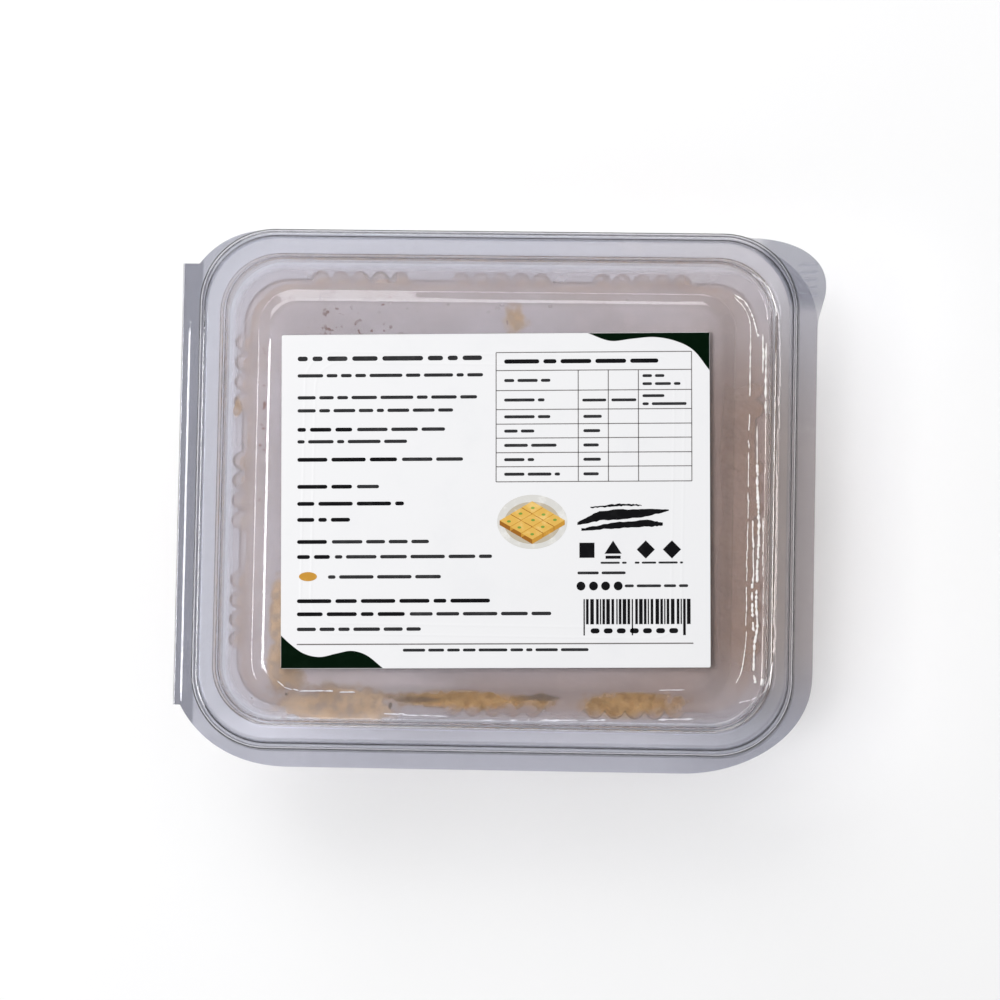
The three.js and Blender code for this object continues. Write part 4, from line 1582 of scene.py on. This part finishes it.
kalakand_grain = make_kalakand()
dress(kalakand_mass, kalakand_grain)
dress(kalakand_grains, kalakand_grain)
print("kalakand dressed")

# %% [markdown]
# ## Label stock and inks
# The label is smooth satin film, so its surface is nearly plain: a faint drift of tone, a little
# smudge, and the pressed rectangle of the panel that shows through as a soft double line. Each ink
# keeps the same satin finish in its own colour.

# %% Make the label stock
PRESSED_LINES = ((44.5, 33.0, 7.0), (42.1, 30.6, 6.0))
LINE_WIDTH = 0.5
WHITES = (0.82, 0.82, 0.83, 1), (0.79, 0.792, 0.805, 1)


def pressed_line(tree, where, half_x, half_y, corner):
    """How high the pressed rectangle's edge stands, from 0 to 1."""
    far = past_rectangle(tree, where, PANEL_SHIFT, half_x, half_y, corner)
    off = maths(tree, "ABSOLUTE", maths(tree, "SUBTRACT", far, corner * MM))
    return spread(tree, off, LINE_WIDTH * MM, 0.0)


def make_label_stock():
    """Smooth white film with the panel's pressed lines faintly under it."""
    material, tree = new_material("label_film")
    where = places(tree)
    marks = smudged(tree, Size=60.0, Clean=0.3, Smudged=0.4)
    outer, inner = (pressed_line(tree, where, *line) for line in PRESSED_LINES)
    height = maths(tree, "ADD", outer, inner)
    bump = place(tree, "ShaderNodeBump", {"Height": height, "Strength": 0.25, "Distance": 0.0001})
    tone = blend_colours(tree, marks["Mask"], *WHITES)
    look = {"Base Color": tone, "Roughness": marks["Roughness"], "Normal": bump.outputs[0]}
    show(tree, surface(tree, look))
    return material


dress(label_sheet, make_label_stock())
print("the label is dressed")

# %% Make the inks
INKS = {
    "green": ((0.0004, 0.0062, 0.0016, 1), (0.0008, 0.008, 0.0025, 1)),
    "ink": ((0.006, 0.006, 0.007, 1), (0.011, 0.011, 0.012, 1)),
    "soft_ink": ((0.028, 0.028, 0.03, 1), (0.045, 0.045, 0.047, 1)),
    "nut_green": ((0.2, 0.32, 0.06, 1), (0.3, 0.42, 0.1, 1)),
    "rule": ((0.16, 0.15, 0.15, 1), (0.22, 0.2, 0.2, 1)),
    "plate": ((0.66, 0.65, 0.62, 1), (0.78, 0.77, 0.74, 1)),
    "plate_shade": ((0.5, 0.44, 0.34, 1), (0.62, 0.56, 0.46, 1)),
    "gold": ((0.72, 0.44, 0.1, 1), (0.82, 0.56, 0.2, 1)),
    "mid_gold": ((0.55, 0.28, 0.045, 1), (0.68, 0.38, 0.08, 1)),
    "dark_gold": ((0.33, 0.13, 0.02, 1), (0.45, 0.2, 0.035, 1)),
}


def make_ink(name):
    """A satin ink with a faint mottle."""
    material, tree = new_material("ink_" + name)
    marks = smudged(tree, Size=420.0, Clean=0.3, Smudged=0.42)
    tone = blend_colours(tree, marks["Mask"], *INKS[name])
    look = {"Base Color": tone, "Roughness": marks["Roughness"], "Specular IOR Level": 0.03}
    show(tree, surface(tree, look))
    return material


inks = {name: make_ink(name) for name in INKS}
for piece, colour in printed.values():
    dress(piece, inks[colour])
print("inks:", ", ".join(inks))

# %% [markdown]
# ## Floor, light and camera
# The box lies on a plain white table. One soft lamp on the hinge side draws the white lines along
# the bends and throws the box's shade to the opening side. A wide one behind the far side fills the
# rim with light, a weaker one gives the pale gleam over the panel, and the sky fills in the rest.
# An image of a room would light it too, but three lamps are easier to move one at a time.

# %% Set the floor
FLOOR_HALF, FLOOR_Z = 3, -0.0003
FLOOR_CORNERS = ((-1, -1), (1, -1), (1, 1), (-1, 1))
FLOOR_TONES = (0.92, 0.92, 0.92, 1), (0.94, 0.94, 0.94, 1)


def set_floor():
    """A wide plain floor."""
    mesh = bpy.data.meshes.new("floor")
    corners = [(x * FLOOR_HALF, y * FLOOR_HALF, FLOOR_Z) for x, y in FLOOR_CORNERS]
    mesh.from_pydata(corners, [], [(0, 1, 2, 3)])
    floor = linked("floor", mesh)
    material, tree = new_material("plain_floor")
    tone = blend_colours(tree, noise(tree, places(tree), 12.0), *FLOOR_TONES)
    show(tree, surface(tree, {"Base Color": tone, "Roughness": 0.9}))
    dress(floor, material)


set_floor()
print("the floor is at", FLOOR_Z, "m")

# %% Set the light
LAMPS_AIM = Vector((0, 0, 0.02))


def soft_lamp(name, where, size, power):
    """A rectangular lamp that looks at the box, its first side level and its second upright."""
    lamp = bpy.data.lights.new(name, "AREA")
    lamp.shape, lamp.size, lamp.size_y = "RECTANGLE", *size
    lamp.energy = power
    made = linked(name, lamp)
    made.location = where
    made.rotation_mode = "QUATERNION"
    made.rotation_quaternion = (Vector(where) - LAMPS_AIM).to_track_quat("Z", "Y")


soft_lamp("hinge_side_lamp", (-0.6, -0.02, 1.0), (0.36, 0.28), 4.6)
soft_lamp("wide_lamp", (-0.3, 0.75, 0.95), (1.2, 0.4), 5.6)
soft_lamp("far_side_lamp", (-0.42, 1.2, 0.74), (0.6, 0.5), 2.9)
sky = bpy.data.worlds.new("studio")
sky.use_nodes = True
glow = sky.node_tree.nodes["Background"].inputs
glow["Color"].default_value, glow["Strength"].default_value = (0.99, 0.99, 1, 1), 0.5
bpy.context.scene.world = sky

# %% Set the camera
CAMERA_FAR = 1.2
CAMERA_AIM = (1.36, -2.1, PICTURE_HEIGHT)
CLOSER = 1.0045
SENSOR = 36.0
PICTURE_WIDTH = 1000


def set_camera():
    """Nearly straight above, leaning a little to the opening side and the near side."""
    lens = bpy.data.cameras.new("camera")
    lens.sensor_width = SENSOR
    lens.lens = SENSOR * CAMERA_FAR / (PICTURE_WIDTH * PIXEL * MM) * CLOSER
    camera = linked("camera", lens)
    back = Vector((PICTURE_LEAN[0], -PICTURE_LEAN[1], 1)).normalized()
    up = Vector((-math.sin(PICTURE_TURN), math.cos(PICTURE_TURN), 0))
    right = up.cross(back).normalized()
    up = back.cross(right)
    camera.rotation_mode = "QUATERNION"
    camera.rotation_quaternion = Matrix(np.array([right, up, back]).T.tolist()).to_quaternion()
    camera.location = Vector(to_metres([CAMERA_AIM])[0]) + back * CAMERA_FAR
    bpy.context.scene.camera = camera
    return camera


camera = set_camera()
scene = bpy.context.scene
scene.view_settings.view_transform = "Standard"
scene.cycles.use_denoising = True
scene.cycles.max_bounces = 24
scene.cycles.transmission_bounces = 20
scene.cycles.transparent_max_bounces = 24
print("camera at", [round(v, 3) for v in camera.location])

# %% [markdown]
# ## The last line
# The last cell brings the view layer up to date. The dressed box must stay inside the imported
# solids' box.

# %% Finish
bpy.context.view_layer.update()
